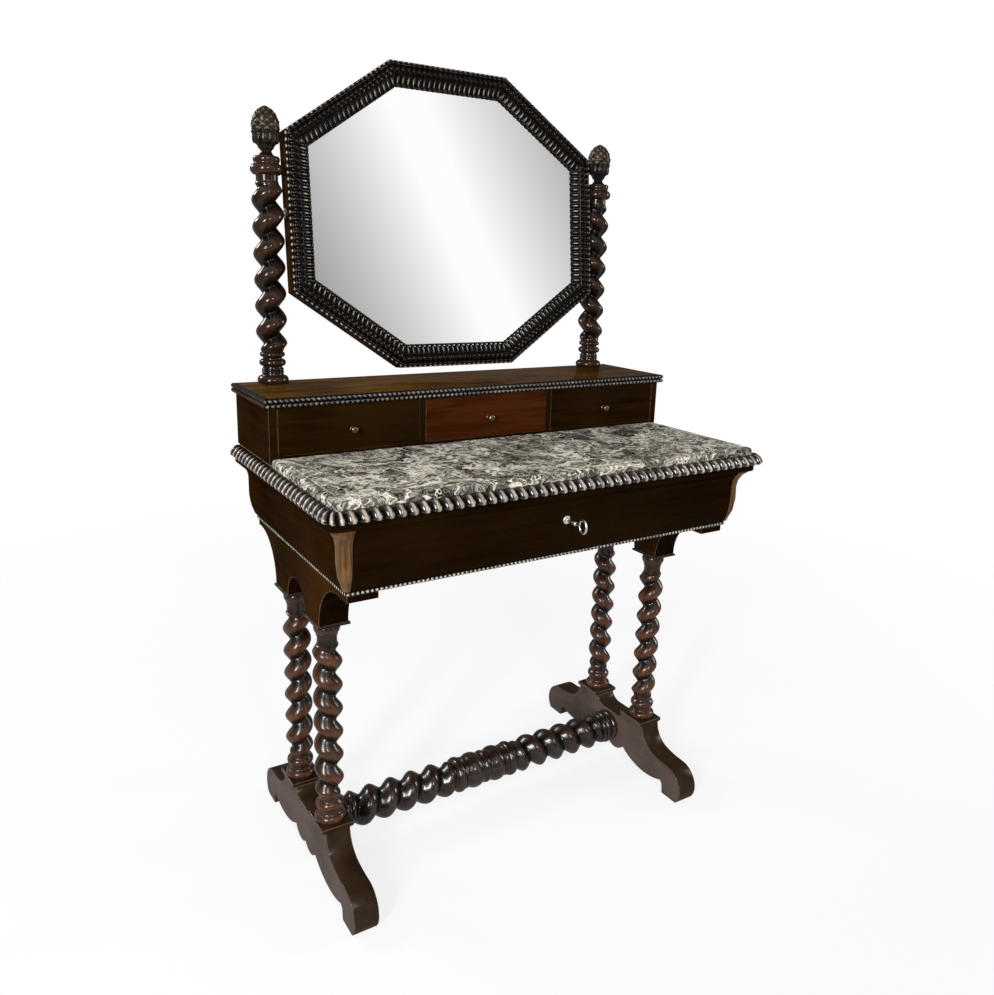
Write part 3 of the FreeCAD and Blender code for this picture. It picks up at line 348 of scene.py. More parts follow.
KEY_SHAFT = ((-42, 2.5), (20, 2.5, 0), (21, 3.1, 0.2), (22.5, 2.7, -0.1), (23, 2.9, 0),
             (27, 2.9, 1.1), (27.6, 2.5, 0), (33, 2.0, 0), (36.5, 1.6, 0), (37.4, 0.6, 0.3))
KEY_PLATE = ((2.7, 0), (7.5, 0), (7.5, 0.5), (6.9, 1.0), (6.0, 0.75), (5.2, 0.8), (4.4, 1.2),
             (3.2, 1.2), (2.7, 0.9))


def pinecone(centre, sides=96, petals=8, spirals=9):
    """A finial: a thin neck and flared cup, a calyx of rounded petals, and a cone of scales. The
    petals stand out by the root of a sine's size round the axis. The scales lie on two crossing
    spirals; each swells towards the place where both spirals' fractions near one, then drops."""
    cup, petal_tips, calyx_top, cone_foot, cone_tip = 1.3225, 1.3445, 1.3515, 1.3521, 1.3936
    petal_out, tip_in, scale_out, scale_tall, notch = 0.0024, 0.0030, 0.0030, 0.0130, 0.16
    line = np.concatenate([arcs((1317, 9.5), (1322, 13.5, -1.0), (1331, 21.5, -2.0)),
                           arcs((1331.4, 21.8), (1343, 23.0, 0.9), (1350, 25.2, -0.6), steps=12),
                           arcs((1351, 24.8), (1352, 22.4, 0), (1393.6, 2.4, 7.6), steps=110)])
    along, radius, angle = carried_round(line, sides)
    petal = np.sqrt(np.abs(np.sin(petals / 2 * angle)))
    in_calyx = (along > cup) & (along < calyx_top)
    swell = np.clip((along - cup) / 0.012, 0, 1)
    tip = np.clip((along - petal_tips) / 0.0065, 0, 1)
    leaf = swell * petal_out * (petal - 0.85) - tip_in * tip * (1 - petal)
    radius = radius + np.where(in_calyx, leaf, 0)
    in_cone = along > cone_foot
    lift = (along - cone_foot) / scale_tall
    first = np.mod(lift + spirals * angle / ROUND, 1)
    second = np.mod(lift - spirals * angle / ROUND, 1)
    edge = np.clip((1 - first) / notch, 0, 1) * np.clip((1 - second) / notch, 0, 1)
    scale = ((first + second) / 2) ** 0.8 * np.sqrt(edge)
    fade = np.clip((cone_tip - along) / 0.006, 0.15, 1)
    radius = radius + np.where(in_cone, scale_out * scale * fade, 0)
    # The crest is highest at the tips of the scales, which the finish paints pale as rubbed wear
    # and as a highlight
    crest = np.where(in_cone, 0.3 + 1.7 * scale, np.where(in_calyx, 0.8 * petal ** 2, 0.6))
    grid = upright(along, radius * np.cos(angle), radius * np.sin(angle)) + np.array(centre)
    return grid_shell(grid, crest)


# Mouldings


def between(first, last, share):
    """Evenly from first to last as the share goes from 0 to 1."""
    return np.array(first) + share * (np.array(last) - np.array(first))


def straight(first, last, first_way, last_way, tally, samples):
    """Stations of a straight run: places from first to last, ways out that turn to the mitres at
    its ends, and a tally that counts its lobes."""
    share = np.linspace(0, 1, samples + 1)[:, None]
    return (between(first, last, share), between(first_way, last_way, share),
            between(*tally, share[:, 0]))


def rounded(centre, radius, first, last, tally, samples):
    """Stations round a plan corner, from one angle to another."""
    share = np.linspace(0, 1, samples + 1)
    angle = np.radians(between(first, last, share))
    way = np.stack([np.cos(angle), np.sin(angle)], -1)
    return np.array(centre) + way * radius, way, between(*tally, share)


def mitred_edge(half_x, depth, pitch, per_lobe=8):
    """Left, front and right runs round a square-cornered case."""
    front = BACK - depth
    corners = (-half_x, BACK), (-half_x, front), (half_x, front), (half_x, BACK)
    ways = (-1, 0), (-1, -1), (1, -1), (1, 0)
    counts = [round(size / pitch) for size in (depth, 2 * half_x, depth)]
    return [straight(*corners[run:run + 2], *ways[run:run + 2], (0, count), count * per_lobe)
            for run, count in enumerate(counts)]


def carried(runs, outline):
    """A moulding in plan: at each station the outline gives (out, height) round its section."""
    place, way, tally = (np.concatenate(parts) for parts in zip(*runs))
    out, height, crest = outline(tally[:, None])
    grid = np.stack([place[:, :1] + way[:, :1] * out, place[:, 1:] + way[:, 1:] * out, height], -1)
    return grid_shell(grid, crest)


def section(tally, low, high, outs, levels, crests):
    """A section between a low and a high back edge, both flat against the piece it stands on."""
    flat = np.zeros_like(tally)
    return (np.concatenate([flat, *outs, flat], 1),
            np.concatenate([flat + low, *levels, flat + high], 1),
            np.concatenate([flat, *crests, flat], 1))


def dome(tally):
    """A row of domes: the upper half of a circle over each whole number, 0 between them."""
    return np.sqrt(np.clip(1 - (2 * np.mod(tally, 1) - 1) ** 2, 0, 1))


def beads(seat, height, radius, groove, points=7):
    """A half-round section whose radius swells and sinks with each bead."""
    turn = np.linspace(-math.pi / 2, math.pi / 2, points)[None]

    def outline(tally):
        swell = dome(tally)
        size = radius * (1 - groove * (1 - swell))
        # The crest peaks on the outward face of each bead, where its finish paints a highlight
        return section(tally, height - radius * 0.98, height + radius * 0.98,
                       [seat + size * np.cos(turn)], [height + size * np.sin(turn)],
                       [swell * np.cos(turn)])
    return outline


def gadroons(sizes, marks, points=17):
    """The rim's section: a quarter ellipse from the marble's side down to a rounded foot. Each
    gadroon is a tongue whose head is rounded: its swell is the root of 1 less the squares of the
    place across it and of the height above its shoulder. The tongues lean along the sides."""
    low, base, high = 0.7652, 0.7655, 0.7810
    front_lean, side_lean, upright_at = 0.16, 0.30, 0.8
    shoulder, crown, narrow, undercut, undercut_end = 0.95, 0.66, 2.2, 0.16, 0.22
    turn = np.linspace(0, math.pi / 2, points)[None]
    head = np.clip((turn - shoulder) / crown, 0, 1)
    foot = 1 - undercut * np.clip(1 - turn / undercut_end, 0, 1) ** 2

    def outline(tally):
        middle, reach = (marks[2] + marks[3]) / 2, (marks[3] - marks[2]) / 2
        side = np.clip((np.abs(tally - middle) - reach) / 3, 0, 1)
        lean = front_lean - side * (side_lean * np.sign(tally - middle) + front_lean)
        across = narrow * (np.mod(tally + lean * (turn - upright_at), 1) - 0.5)
        swell = np.sqrt(np.clip(1 - across ** 2 - head ** 2, 0, 1))
        size = 1 - sizes.rim_groove * (1 - swell) * (1 - 0.55 * head)
        # The crest is narrow, down the middle of each gadroon, where its finish paints a highlight
        return section(tally, low, high, [sizes.rim_wide * size * foot * np.cos(turn)],
                       [base + sizes.rim_tall * size * np.sin(turn)], [2 * swell ** 6])
    return outline


def reeds(carved):
    """Two half-round reeds, one over the other, plain where carved is 0 and, where it is 1, cut
    into pearls below and ripples above."""
    low, high, seat, rise = 0.8851, 0.9019, 0.0045, 0.00425
    turn = np.linspace(-math.pi / 2, math.pi / 2, 8)[None]

    def outline(tally):
        outs, levels, crests = [], [], []
        for height, groove, lean in ((0.88925, 0.70, 0.0), (0.89775, 0.55, 0.5)):
            swell = dome(tally + lean * turn / math.pi + lean)
            size = 1 - carved * groove * (1 - swell)
            outs.append(seat + seat * size * np.cos(turn))
            levels.append(height + rise * size * np.sin(turn))
            # The crest peaks on the outward face of each pearl: on the carved front it places a
            # painted highlight, on the plain sides rubbed wear
            crests.append((carved * swell + 1 - carved) * np.cos(turn))
        return section(tally, low, high, outs, levels, crests)
    return outline


# The mirror's eight sides. The tables run over the face's inset in millimetres: its own outline as
# (inset, depth, bulge), how deep its ripples are cut, and how strongly their crests are painted
# pale as a highlight.
FACE = ((0, -6.4), (4.4, -4.4, 1.3), (8.8, -3.6, 1.3), (9.6, -4.6, 0), (23.5, -4.8, 2.6),
        (27, -7.4, -1.0), (28, -6.8, 0), (41.5, -13.2, 0.5), (42.3, -13.6, 0), (45.9, -11.8, 1.5))
RIBBED = ((0, 9.6, 10.5, 22, 23.5, 27, 28, 38, 41.5, 42.3),
          (0.8, 0.8, 0.5, 0.5, 0.1, 0.1, 0.8, 1, 0.8, 0.7))
PAINTED_RIB_HIGHLIGHT = ((0, 1.2, 2.4, 4.4, 6.6, 8.8, 12, 20, 23.5, 28, 33, 38, 41.5, 44, 45.9),
        (0.9, 2, 2, 0.5, 1.6, 0.5, 1.3, 1.3, 0.4, 1.2, 2, 2, 1.2, 1.6, 0.8))
BEAD_ROWS = 9.2 * MM     # the outer part of the face that is cut into beads


def octagon(sizes, inset):
    """The mirror's corners as (x, z), moved in from its outer edge, anticlockwise."""
    wide, tall = sizes.half_wide, sizes.half_tall
    across, up = wide - sizes.half_top, tall - sizes.half_side
    length = math.hypot(across, up)
    reach = (sizes.half_top * up + tall * across) / length - inset
    top = (reach * length - (tall - inset) * across) / up
    side = (reach * length - (wide - inset) * up) / across
    quarter = [(wide - inset, side), (top, tall - inset)]
    half = quarter + [(-x, z) for x, z in quarter[::-1]]
    return np.array(half + [(-x, -z) for x, z in half])


def leaned(grid, sizes):
    """The mirror's own frame turned back about its pivots and lifted to them."""
    turn = -math.asin(sizes.top_back / sizes.half_tall)
    x, y, z = (grid[..., axis] for axis in range(3))
    return np.stack([x + PIVOT[0], PIVOT[1] + y * math.cos(turn) - z * math.sin(turn),
                     PIVOT[2] + y * math.sin(turn) + z * math.cos(turn)], -1)


def ripple_frame(sizes):
    """The frame's section carried round the octagon and mitred, with ripples across its face.
    The section is (inset, depth): the outer side, the face and the inner edge. Ripples lower the
    face between ribs by a cosine along each side, or by half circles in the two bead rows, and
    die out in the cove."""
    face = arcs(*FACE, steps=6)
    inset = np.concatenate([[0.0, 0.0], face[:, 0], [46.0, 40.0, 40.0]]) * MM
    depth = np.concatenate([[-10.0, 15.0], 26 + face[:, 1], [11.0, 11.0, -10.0]]) * MM
    ribbed, pale = np.zeros(len(inset)), np.zeros(len(inset))
    ribbed[2:-3] = np.interp(face[:, 0], *RIBBED)
    pale[2:-3] = np.interp(face[:, 0], *PAINTED_RIB_HIGHLIGHT)
    in_beads = (inset < BEAD_ROWS) & (ribbed > 0)
    outer, inner = octagon(sizes, 0.0), octagon(sizes, 1.0)
    grids, crests = [], []
    for side in range(8):
        first, last = outer[side], outer[(side + 1) % 8]
        way_first, way_last = inner[side] - first, inner[(side + 1) % 8] - last
        length = np.hypot(*(last - first))
        count = round(length / sizes.ripple_pitch)
        share = np.linspace(0, 1, count * 7, endpoint=False)[:, None, None]
        way = between(way_first, way_last, share)
        place = between(first, last, share) + way * inset[None, :, None]
        along = ((place - first) @ ((last - first) / length)) / length * count
        rib = np.where(in_beads[None], dome(along), 0.5 - 0.5 * np.cos(ROUND * along))
        down = ribbed[None] * sizes.ripple_depth * (1 - rib)
        grids.append(np.stack([place[..., 0], -(depth[None] - down), place[..., 1]], -1))
        # Painted highlight: the crests of the ripples are painted pale as far as the table above
        # gives
        crests.append(np.where(ribbed[None] > 0, pale[None] * rib ** 3, 0.35))
    shell = grid_shell(leaned(np.concatenate(grids), sizes), np.concatenate(crests), ring=True)
    side_face = np.isin(np.arange(len(inset)), (0, 1))
    return shell, np.tile(side_face, len(shell[1]) // len(inset)).astype(np.int32)


# Shader nodes


def feed(tree, node, inputs):
    """Each input gets its value, or a link where the value is a socket."""
    for name, value in inputs.items():
        if isinstance(value, bpy.types.NodeSocket):
            tree.links.new(value, node.inputs[name])
        else:
            node.inputs[name].default_value = value
    return node


def add(tree, kind, inputs=None, **settings):
    """A node with its settings and what its inputs are fed."""
    node = tree.nodes.new(kind)
    for name, value in settings.items():
        setattr(node, name, value)
    return feed(tree, node, inputs or {})


def math_node(tree, operation, *values, clamp=False):
    return add(tree, "ShaderNodeMath", dict(enumerate(values)), operation=operation,
               use_clamp=clamp).outputs[0]


def mixed(tree, share, *colours):
    """A colour between two, each a colour or a socket."""
    first, second = ((*value, 1) if isinstance(value, tuple) else value for value in colours)
    return add(tree, "ShaderNodeMix", {0: share, 6: first, 7: second}, data_type="RGBA").outputs[2]


def mixed_shader(tree, share, first, second):
    return add(tree, "ShaderNodeMixShader", {0: share, 1: first, 2: second}).outputs[0]


def ramp(tree, value, low, high, first=0.0, last=1.0, **settings):
    """A number from first, where the value is at or below low, evenly to last at high."""
    return add(tree, "ShaderNodeMapRange", {"Value": value, "From Min": low, "From Max": high,
                                            "To Min": first, "To Max": last},
               **settings).outputs["Result"]


def noise(tree, place, scale, detail, rough=0.5, distortion=0.0):
    return add(tree, "ShaderNodeTexNoise", {"Vector": place, "Scale": scale, "Detail": detail,
                                            "Roughness": rough, "Distortion": distortion})


def new_group(name, inputs, outputs):
    """An empty shader group: inputs with their defaults, a number or a vector, and outputs."""
    tree = bpy.data.node_groups.new(name, "ShaderNodeTree")
    for label, value in inputs.items():
        kind = "NodeSocketFloat" if isinstance(value, float) else "NodeSocketVector"
        socket = tree.interface.new_socket(name=label, in_out="INPUT", socket_type=kind)
        socket.default_value = value
    for label in outputs:
        tree.interface.new_socket(name=label, in_out="OUTPUT", socket_type="NodeSocketFloat")
    return tree, add(tree, "NodeGroupInput").outputs, add(tree, "NodeGroupOutput")


def grain_group():
    """Wood grain: long streaks, drawn out along one way by a stretch of the coordinates, with
    finer pores in them."""
    tree, given, made = new_group(
        "wood_grain", {"Vector": (0, 0, 0), "Stretch": (1, 14, 14), "Figure": 9.0, "Pores": 120.0},
        ("Grain", "Fine", "Clouds"))
    drawn = add(tree, "ShaderNodeVectorMath", {0: given["Vector"], 1: given["Stretch"]},
                operation="MULTIPLY").outputs[0]
    figure = noise(tree, drawn, given["Figure"], 5.0, 0.52, 0.6).outputs[0]
    pores = noise(tree, drawn, given["Pores"], 3.0, 0.7).outputs[0]
    clouds = noise(tree, given["Vector"], 5.0, 3.0).outputs[0]
    feed(tree, made, {"Grain": ramp(tree, figure, 0.30, 0.74),
                      "Fine": ramp(tree, pores, 0.42, 0.66),
                      "Clouds": ramp(tree, clouds, 0.34, 0.68)})


def wear_group():
    """Wear and handling: rubbed crests, patches, smudges and nicks from noise at three sizes. On
    the beads and pearls the rubbed crests, and on the rim, frame and finials the patches, also
    place painted highlights.
    """
    tree, given, made = new_group(
        "handling_wear", {"Vector": (0, 0, 0), "Crest": 0.5, "Low": 0.15},
        ("Rubbed", "Patches", "Smudge", "Nicks"))
    patch = noise(tree, given["Vector"], 22.0, 5.0, 0.6).outputs[0]
    smudge = noise(tree, given["Vector"], 60.0, 4.0, 0.6).outputs[0]
    nicks = noise(tree, given["Vector"], 420.0, 2.0).outputs[0]
    patches = ramp(tree, patch, 0.22, 0.60)
    high = ramp(tree, given["Crest"], given["Low"], 1.0)
    feed(tree, made, {"Rubbed": math_node(tree, "MULTIPLY", high, patches), "Patches": patches,
                      "Smudge": ramp(tree, smudge, 0.35, 0.7),
                      "Nicks": ramp(tree, nicks, 0.66, 0.76)})


def vein_group():
    """Marble: crossing wandering veins where warped noise nears its middle value, over clouds."""
    tree, given, made = new_group("marble_veins", {"Vector": (0, 0, 0)},
                                  ("Veins", "Clouds", "Specks"))
    warp = noise(tree, given["Vector"], 9.0, 4.0, 0.6).outputs["Color"]
    place = add(tree, "ShaderNodeVectorMath", {0: warp, 1: (0.22, 0.22, 0.22), 2: given["Vector"]},
                operation="MULTIPLY_ADD").outputs[0]
    busy = ramp(tree, noise(tree, place, 13.0, 4.0, 0.6).outputs[0], 0.40, 0.60)
    fade, total = math_node(tree, "ADD", busy, 0.26, clamp=True), None
    for scale, width, weight in ((7.0, 0.026, 1.0), (17.0, 0.042, 1.0), (38.0, 0.060, 0.65)):
        level = noise(tree, place, scale, 2.5, 0.55, 0.9).outputs[0]
        away = math_node(tree, "ABSOLUTE", math_node(tree, "SUBTRACT", level, 0.5))
        line = ramp(tree, away, 0.0, width, weight, 0.0, interpolation_type="SMOOTHSTEP")
        if total is not None:
            line = math_node(tree, "MAXIMUM", total, math_node(tree, "MULTIPLY", line, fade))
        total = line
    specks = add(tree, "ShaderNodeTexVoronoi", {"Vector": place, "Scale": 230.0})
    feed(tree, made, {"Veins": total, "Clouds": busy,
                      "Specks": ramp(tree, specks.outputs["Distance"], 0.5, 0.15)})


# Finishes


def new_material(name):
    """An empty material: its tree, its Principled BSDF and its Object coordinates."""
    material = bpy.data.materials.new(name)
    material.use_nodes = True
    tree = material.node_tree
    return tree, tree.nodes["Principled BSDF"], add(tree, "ShaderNodeTexCoord").outputs["Object"]


def pattern(tree, name, place, **inputs):
    """The outputs of a shader group over the piece's own coordinates."""
    return add(tree, "ShaderNodeGroup", {"Vector": place, **inputs},
               node_tree=bpy.data.node_groups[name]).outputs


def bump(tree, shader, height, strength, distance):
    node = add(tree, "ShaderNodeBump", {"Height": height, "Strength": strength,
                                        "Distance": distance})
    feed(tree, shader, {"Normal": node.outputs[0]})


def scaled(colour, times):
    return tuple(value * times for value in colour)


def thin_polish(tree, shader, colour, wear, coat, rough, ior=1.5):
    """A worn coat over a dull ground: its weight falls where hands smudged it."""
    feed(tree, shader, {"Base Color": colour, "Roughness": 0.6, "Specular IOR Level": 0.0,
                        "Coat Weight": ramp(tree, wear["Smudge"], 0.0, 1.0, coat, coat * 0.65),
                        "Coat Roughness": rough, "Coat IOR": ior})


def polished_wood(name, dark, light, stretch, coat, figure=5.0, warm=None, warmth=0.5, rough=0.12):
    """Figured wood with its grain along the stretched way, under a thin polish that is duller
    where it was handled."""
    tree, shader, place = new_material(name)
    grain = pattern(tree, "wood_grain", place, Stretch=stretch, Figure=figure)
    wear = pattern(tree, "handling_wear", place)
    colour = mixed(tree, grain["Grain"], dark, light)
    if warm is not None:
        colour = mixed(tree, math_node(tree, "MULTIPLY", grain["Clouds"], warmth), colour, warm)
    pores = math_node(tree, "MULTIPLY", grain["Fine"], 0.28)
    colour = mixed(tree, pores, colour, scaled(dark, 0.5))
    thin_polish(tree, shader, colour, wear, coat, rough)
    bump(tree, shader, grain["Fine"], 0.12, 0.0003)


def black_polish(name, polish, worn, light, coat, rough, ior, low, highlight_tips=None):
    """Black-stained polish, rubbed brown where the crest runs above low, darker in the grooves
    and, where the crest runs past 1, painted pale at its tips as a highlight."""
    tree, shader, place = new_material(name)
    crest = add(tree, "ShaderNodeAttribute", attribute_name="crest").outputs["Fac"]
    wear = pattern(tree, "handling_wear", place, Crest=crest, Low=low)
    grain = pattern(tree, "wood_grain", place, Stretch=(14, 14, 1))
    # The crest colour is rubbed wear on the turnings and the rim; on the beads and pearls it is a
    # painted highlight
    rubbed = mixed(tree, grain["Grain"], worn, light)
    colour = mixed(tree, wear["Rubbed"], polish, rubbed)
    # Painted highlight: where the crest runs past 1 the tips take the pale highlight colour
    if highlight_tips is not None:
        tip = math_node(tree, "MULTIPLY", ramp(tree, crest, 1.2, 2.0), wear["Patches"])
        colour = mixed(tree, tip, colour, highlight_tips)
    thin_polish(tree, shader, colour, wear, coat, rough, ior)
    bump(tree, shader, grain["Fine"], 0.08, 0.0003)


def veined_marble(name, stone, vein):
    """Polished dark marble with dense cream veins, pale clouds, specks and a painted highlight
    along the incised line.
    """
    tree, shader, place = new_material(name)
    veins = pattern(tree, "marble_veins", place)
    crest = add(tree, "ShaderNodeAttribute", attribute_name="crest").outputs["Fac"]
    colour = stone
    # The crest is 1 on the incised line, which is painted pale as a highlight
    for value, weight in ((veins["Clouds"], 0.12), (veins["Specks"], 0.12), (veins["Veins"], 1.0),
                          (crest, 0.30)):
        colour = mixed(tree, math_node(tree, "MULTIPLY", value, weight), colour, vein)
    thin_polish(tree, shader, colour, pattern(tree, "handling_wear", place), 0.28, 0.14)
    bump(tree, shader, veins["Veins"], 0.04, 0.0002)


def plain_wood(name, colour):
    """Bare planed wood with a soft grain."""
    tree, shader, place = new_material(name)
    grain = pattern(tree, "wood_grain", place, Stretch=(12, 1, 12))
    base = mixed(tree, grain["Grain"], scaled(colour, 0.62), colour)
    pores = math_node(tree, "MULTIPLY", grain["Fine"], 0.35)
    feed(tree, shader, {"Base Color": mixed(tree, pores, base, scaled(colour, 0.4)),
                        "Roughness": ramp(tree, grain["Clouds"], 0.0, 1.0, 0.52, 0.72)})
    bump(tree, shader, grain["Fine"], 0.3, 0.0004)


def worn_metal(name, colour, rough):
    """Old bright metal with darker tarnish and fine scratches."""
    tree, shader, place = new_material(name)
    wear = pattern(tree, "handling_wear", place)
    tarnish = math_node(tree, "MULTIPLY", wear["Smudge"], 0.55)
    feed(tree, shader, {"Base Color": mixed(tree, tarnish, colour, scaled(colour, 0.45)),
                        "Metallic": 1.0,
                        "Roughness": ramp(tree, wear["Smudge"], 0.0, 1.0, rough, rough + 0.2)})
    bump(tree, shader, wear["Nicks"], 0.15, 0.0002)


def silvered_glass(name):
    """Old mirror glass: silver with the faintest cloud and a few specks of age."""
    tree, shader, place = new_material(name)
    wear = pattern(tree, "handling_wear", place)
    specks = math_node(tree, "MULTIPLY", wear["Nicks"], 0.05)
    feed(tree, shader, {"Base Color": mixed(tree, specks, (0.93, 0.935, 0.935), (0.6, 0.6, 0.58)),
                        "Metallic": 1.0,
                        "Roughness": ramp(tree, wear["Smudge"], 0.0, 1.0, 0.012, 0.035)})


# The finish that a CAD node's slot asks for
SLOT_FINISHES = {"plain_wood": "bare_wood", "dark_wood": "front_wood",
                 "black_polish": "turned_wood", "corner_veneer": "corner_wood",
                 "marble": "veined_marble", "mirror_glass": "mirror_silver",
                 "steel": "bright_steel", "brass": "old_brass"}
# Black finishes: stain, crest colour (rubbed wear, and on the beads a painted highlight), its
# lighter grain, coat and its roughness and index, the crest from which it is rubbed and the colour
# of the painted highlight on its tips
BLACK_FINISHES = (
    ("stretcher_wood", (0.0035, 0.002, 0.0012), (0.040, 0.019, 0.010), (0.020, 0.010, 0.005),
     0.75, 0.22, 1.8, 0.2, None),
    ("post_wood", (0.003, 0.0017, 0.0009), (0.046, 0.021, 0.009), (0.024, 0.010, 0.004),
     0.5, 0.18, 1.75, 0.28, None),
    # Rim: rubbed brown crests, and a painted highlight down the middle of each gadroon
    ("rim_wood", (0.004, 0.003, 0.0022), (0.062, 0.043, 0.031), (0.036, 0.023, 0.016),
     0.85, 0.22, 1.9, 0.35, (0.60, 0.50, 0.41)),
    # Finials: rubbed crests, and tips painted pale as wear and as a highlight
    ("carved_wood", (0.004, 0.0025, 0.0013), (0.036, 0.024, 0.013), (0.022, 0.014, 0.008),
     0.4, 0.26, 1.6, 0.15, (0.30, 0.25, 0.165)),
    # Beads under the ogee: the crest colour is a near-white painted highlight
    ("bead_highlight_wood", (0.005, 0.0035, 0.0025), (0.80, 0.74, 0.64), (0.62, 0.56, 0.47),
     0.4, 0.22, 1.8, 0.70, None),
    # Mirror frame: the pale tips on the ripples' crests are a painted highlight
    ("frame_wood", (0.0016, 0.0011, 0.0008), (0.020, 0.010, 0.006), (0.012, 0.006, 0.003),
     0.18, 0.20, 1.8, 0.3, (0.60, 0.54, 0.46)),
)
ALONG_X, ALONG_Y, ALONG_Z = (1, 15, 15), (15, 1, 15), (15, 15, 1)


def make_finishes(colours):
    """Every finish of the table."""
    grain_group()
    wear_group()
    vein_group()
    dark, light, red, warm, polish, worn, pearl_highlight, veneer = (
        tuple(getattr(colours, name)) for name in
        ("wood_dark", "wood_light", "wood_red", "wood_warm", "polish", "polish_worn", "pearl_highlight",
         "veneer"))
    polished_wood("front_wood", dark, scaled(light, 0.7), ALONG_X, 0.03, warm=scaled(warm, 0.2))
    polished_wood("drawer_wood", dark, scaled(light, 1.2), ALONG_X, 0.03, warm=scaled(warm, 0.3))
    polished_wood("side_wood", dark, light, ALONG_Y, 0.02, warm=(0.034, 0.0125, 0.0025),
                  warmth=0.7)
    polished_wood("bracket_wood", dark, scaled(light, 1.3), ALONG_Y, 0.03,
                  warm=(0.050, 0.018, 0.004), warmth=0.8)
    # Painted shade: the brackets' fronts and arches take this darker copy of the bracket wood
    polished_wood("arch_shade_wood", dark, scaled(light, 0.6), ALONG_Z, 0.03)
    # Painted sheen: the feet's sides take this light pinkish grey, lighter than their tops
    polished_wood("foot_side_sheen_wood", (0.032, 0.020, 0.014), (0.075, 0.052, 0.042), ALONG_Y, 0.35,
                  rough=0.3, warm=(0.115, 0.085, 0.072), warmth=0.8)
    polished_wood("foot_top_wood", scaled(dark, 2), scaled(light, 1.6), ALONG_Y, 0.4, rough=0.3,
                  warm=(0.045, 0.026, 0.013), warmth=0.6)
    # Eased edges: rubbed, and painted light as a highlight
    polished_wood("edge_wear_and_highlight_wood", (0.040, 0.026, 0.016), (0.095, 0.068, 0.044), ALONG_X, 0.7,
                  figure=9.0, rough=0.2)
    # Drawer front edges: a painted highlight along the joints
    polished_wood("joint_edge_highlight_wood", (0.030, 0.018, 0.009), (0.130, 0.090, 0.052), ALONG_X, 0.5,
                  figure=9.0, rough=0.2)
    polished_wood("stile_wood", dark, scaled(light, 1.4), ALONG_Z, 0.05, figure=9.0,
                  warm=scaled(warm, 0.35))
    polished_wood("case_top_wood", scaled(light, 1.1), scaled(warm, 1.3), (2, 9, 15), 0.24,
                  warm=scaled(warm, 1.7), rough=0.06)
    polished_wood("red_wood", scaled(red, 0.35), red, ALONG_X, 0.04, figure=7.0)
    polished_wood("corner_wood", scaled(veneer, 0.2), scaled(veneer, 1.35), ALONG_Z, 0.5,
                  figure=9.0, warm=scaled(veneer, 0.25), warmth=0.6)
    polished_wood("frame_side_wood", scaled(dark, 3), scaled(light, 2.6), ALONG_Z, 0.08,
                  figure=9.0)
    black_polish("turned_wood", scaled(polish, 1.2), worn, scaled(worn, 0.6), 0.85, 0.25, 1.62,
                 0.28)
    # Pearls: a black ground whose crests are painted pale as highlights
    black_polish("pearl_highlight_wood", (0.003, 0.002, 0.0015), scaled(pearl_highlight, 3.4), scaled(pearl_highlight, 1.2), 0.4,
                 0.22, 1.8, 0.70)
    for row in BLACK_FINISHES:
        black_polish(*row)
    veined_marble("veined_marble", tuple(colours.stone), tuple(colours.vein))
    plain_wood("bare_wood", tuple(colours.plain))
    worn_metal("bright_steel", tuple(colours.steel), 0.30)
    worn_metal("old_brass", tuple(colours.brass), 0.26)
    silvered_glass("mirror_silver")


# The stage


def seen_rays(tree):
    """1 for the rays that show a surface, straight, through glass or mirrored, and 1 for the
    mirrored ones alone."""
    path = add(tree, "ShaderNodeLightPath").outputs
    seen = math_node(tree, "MAXIMUM", path["Is Camera Ray"], path["Is Transmission Ray"])
    return math_node(tree, "MAXIMUM", seen, path["Is Glossy Ray"]), path["Is Glossy Ray"]


def studio_room(scene, settings, white):
    """Even light, a plain background, and a soft bright band that only mirrors see."""
    world = scene.world = bpy.data.worlds.new("studio_room")
    world.use_nodes = True
    tree = world.node_tree
    tree.nodes.clear()
    seen, mirrored = seen_rays(tree)
    even = add(tree, "ShaderNodeBackground", {"Color": (1, 1, 1, 1), "Strength": settings.room})
    off_band, edge, end, bright, dim = (0.783816, 0.535260, 0.314847), 0.020, 0.256, 1.02, 0.44
    way = add(tree, "ShaderNodeTexCoord").outputs["Generated"]
    away = math_node(tree, "ABSOLUTE", add(tree, "ShaderNodeVectorMath", {0: way, 1: off_band},
                                           operation="DOT_PRODUCT").outputs["Value"])
    fall = math_node(tree, "POWER", ramp(tree, away, edge, end, bright, dim), 2.2)
    strength = add(tree, "ShaderNodeMix", {0: mirrored, 2: 1.0, 3: fall},
                   data_type="FLOAT").outputs[0]
    shown = add(tree, "ShaderNodeBackground", {"Color": white, "Strength": strength})
    room = mixed_shader(tree, seen, even.outputs[0], shown.outputs[0])
    add(tree, "ShaderNodeOutputWorld", {0: room})


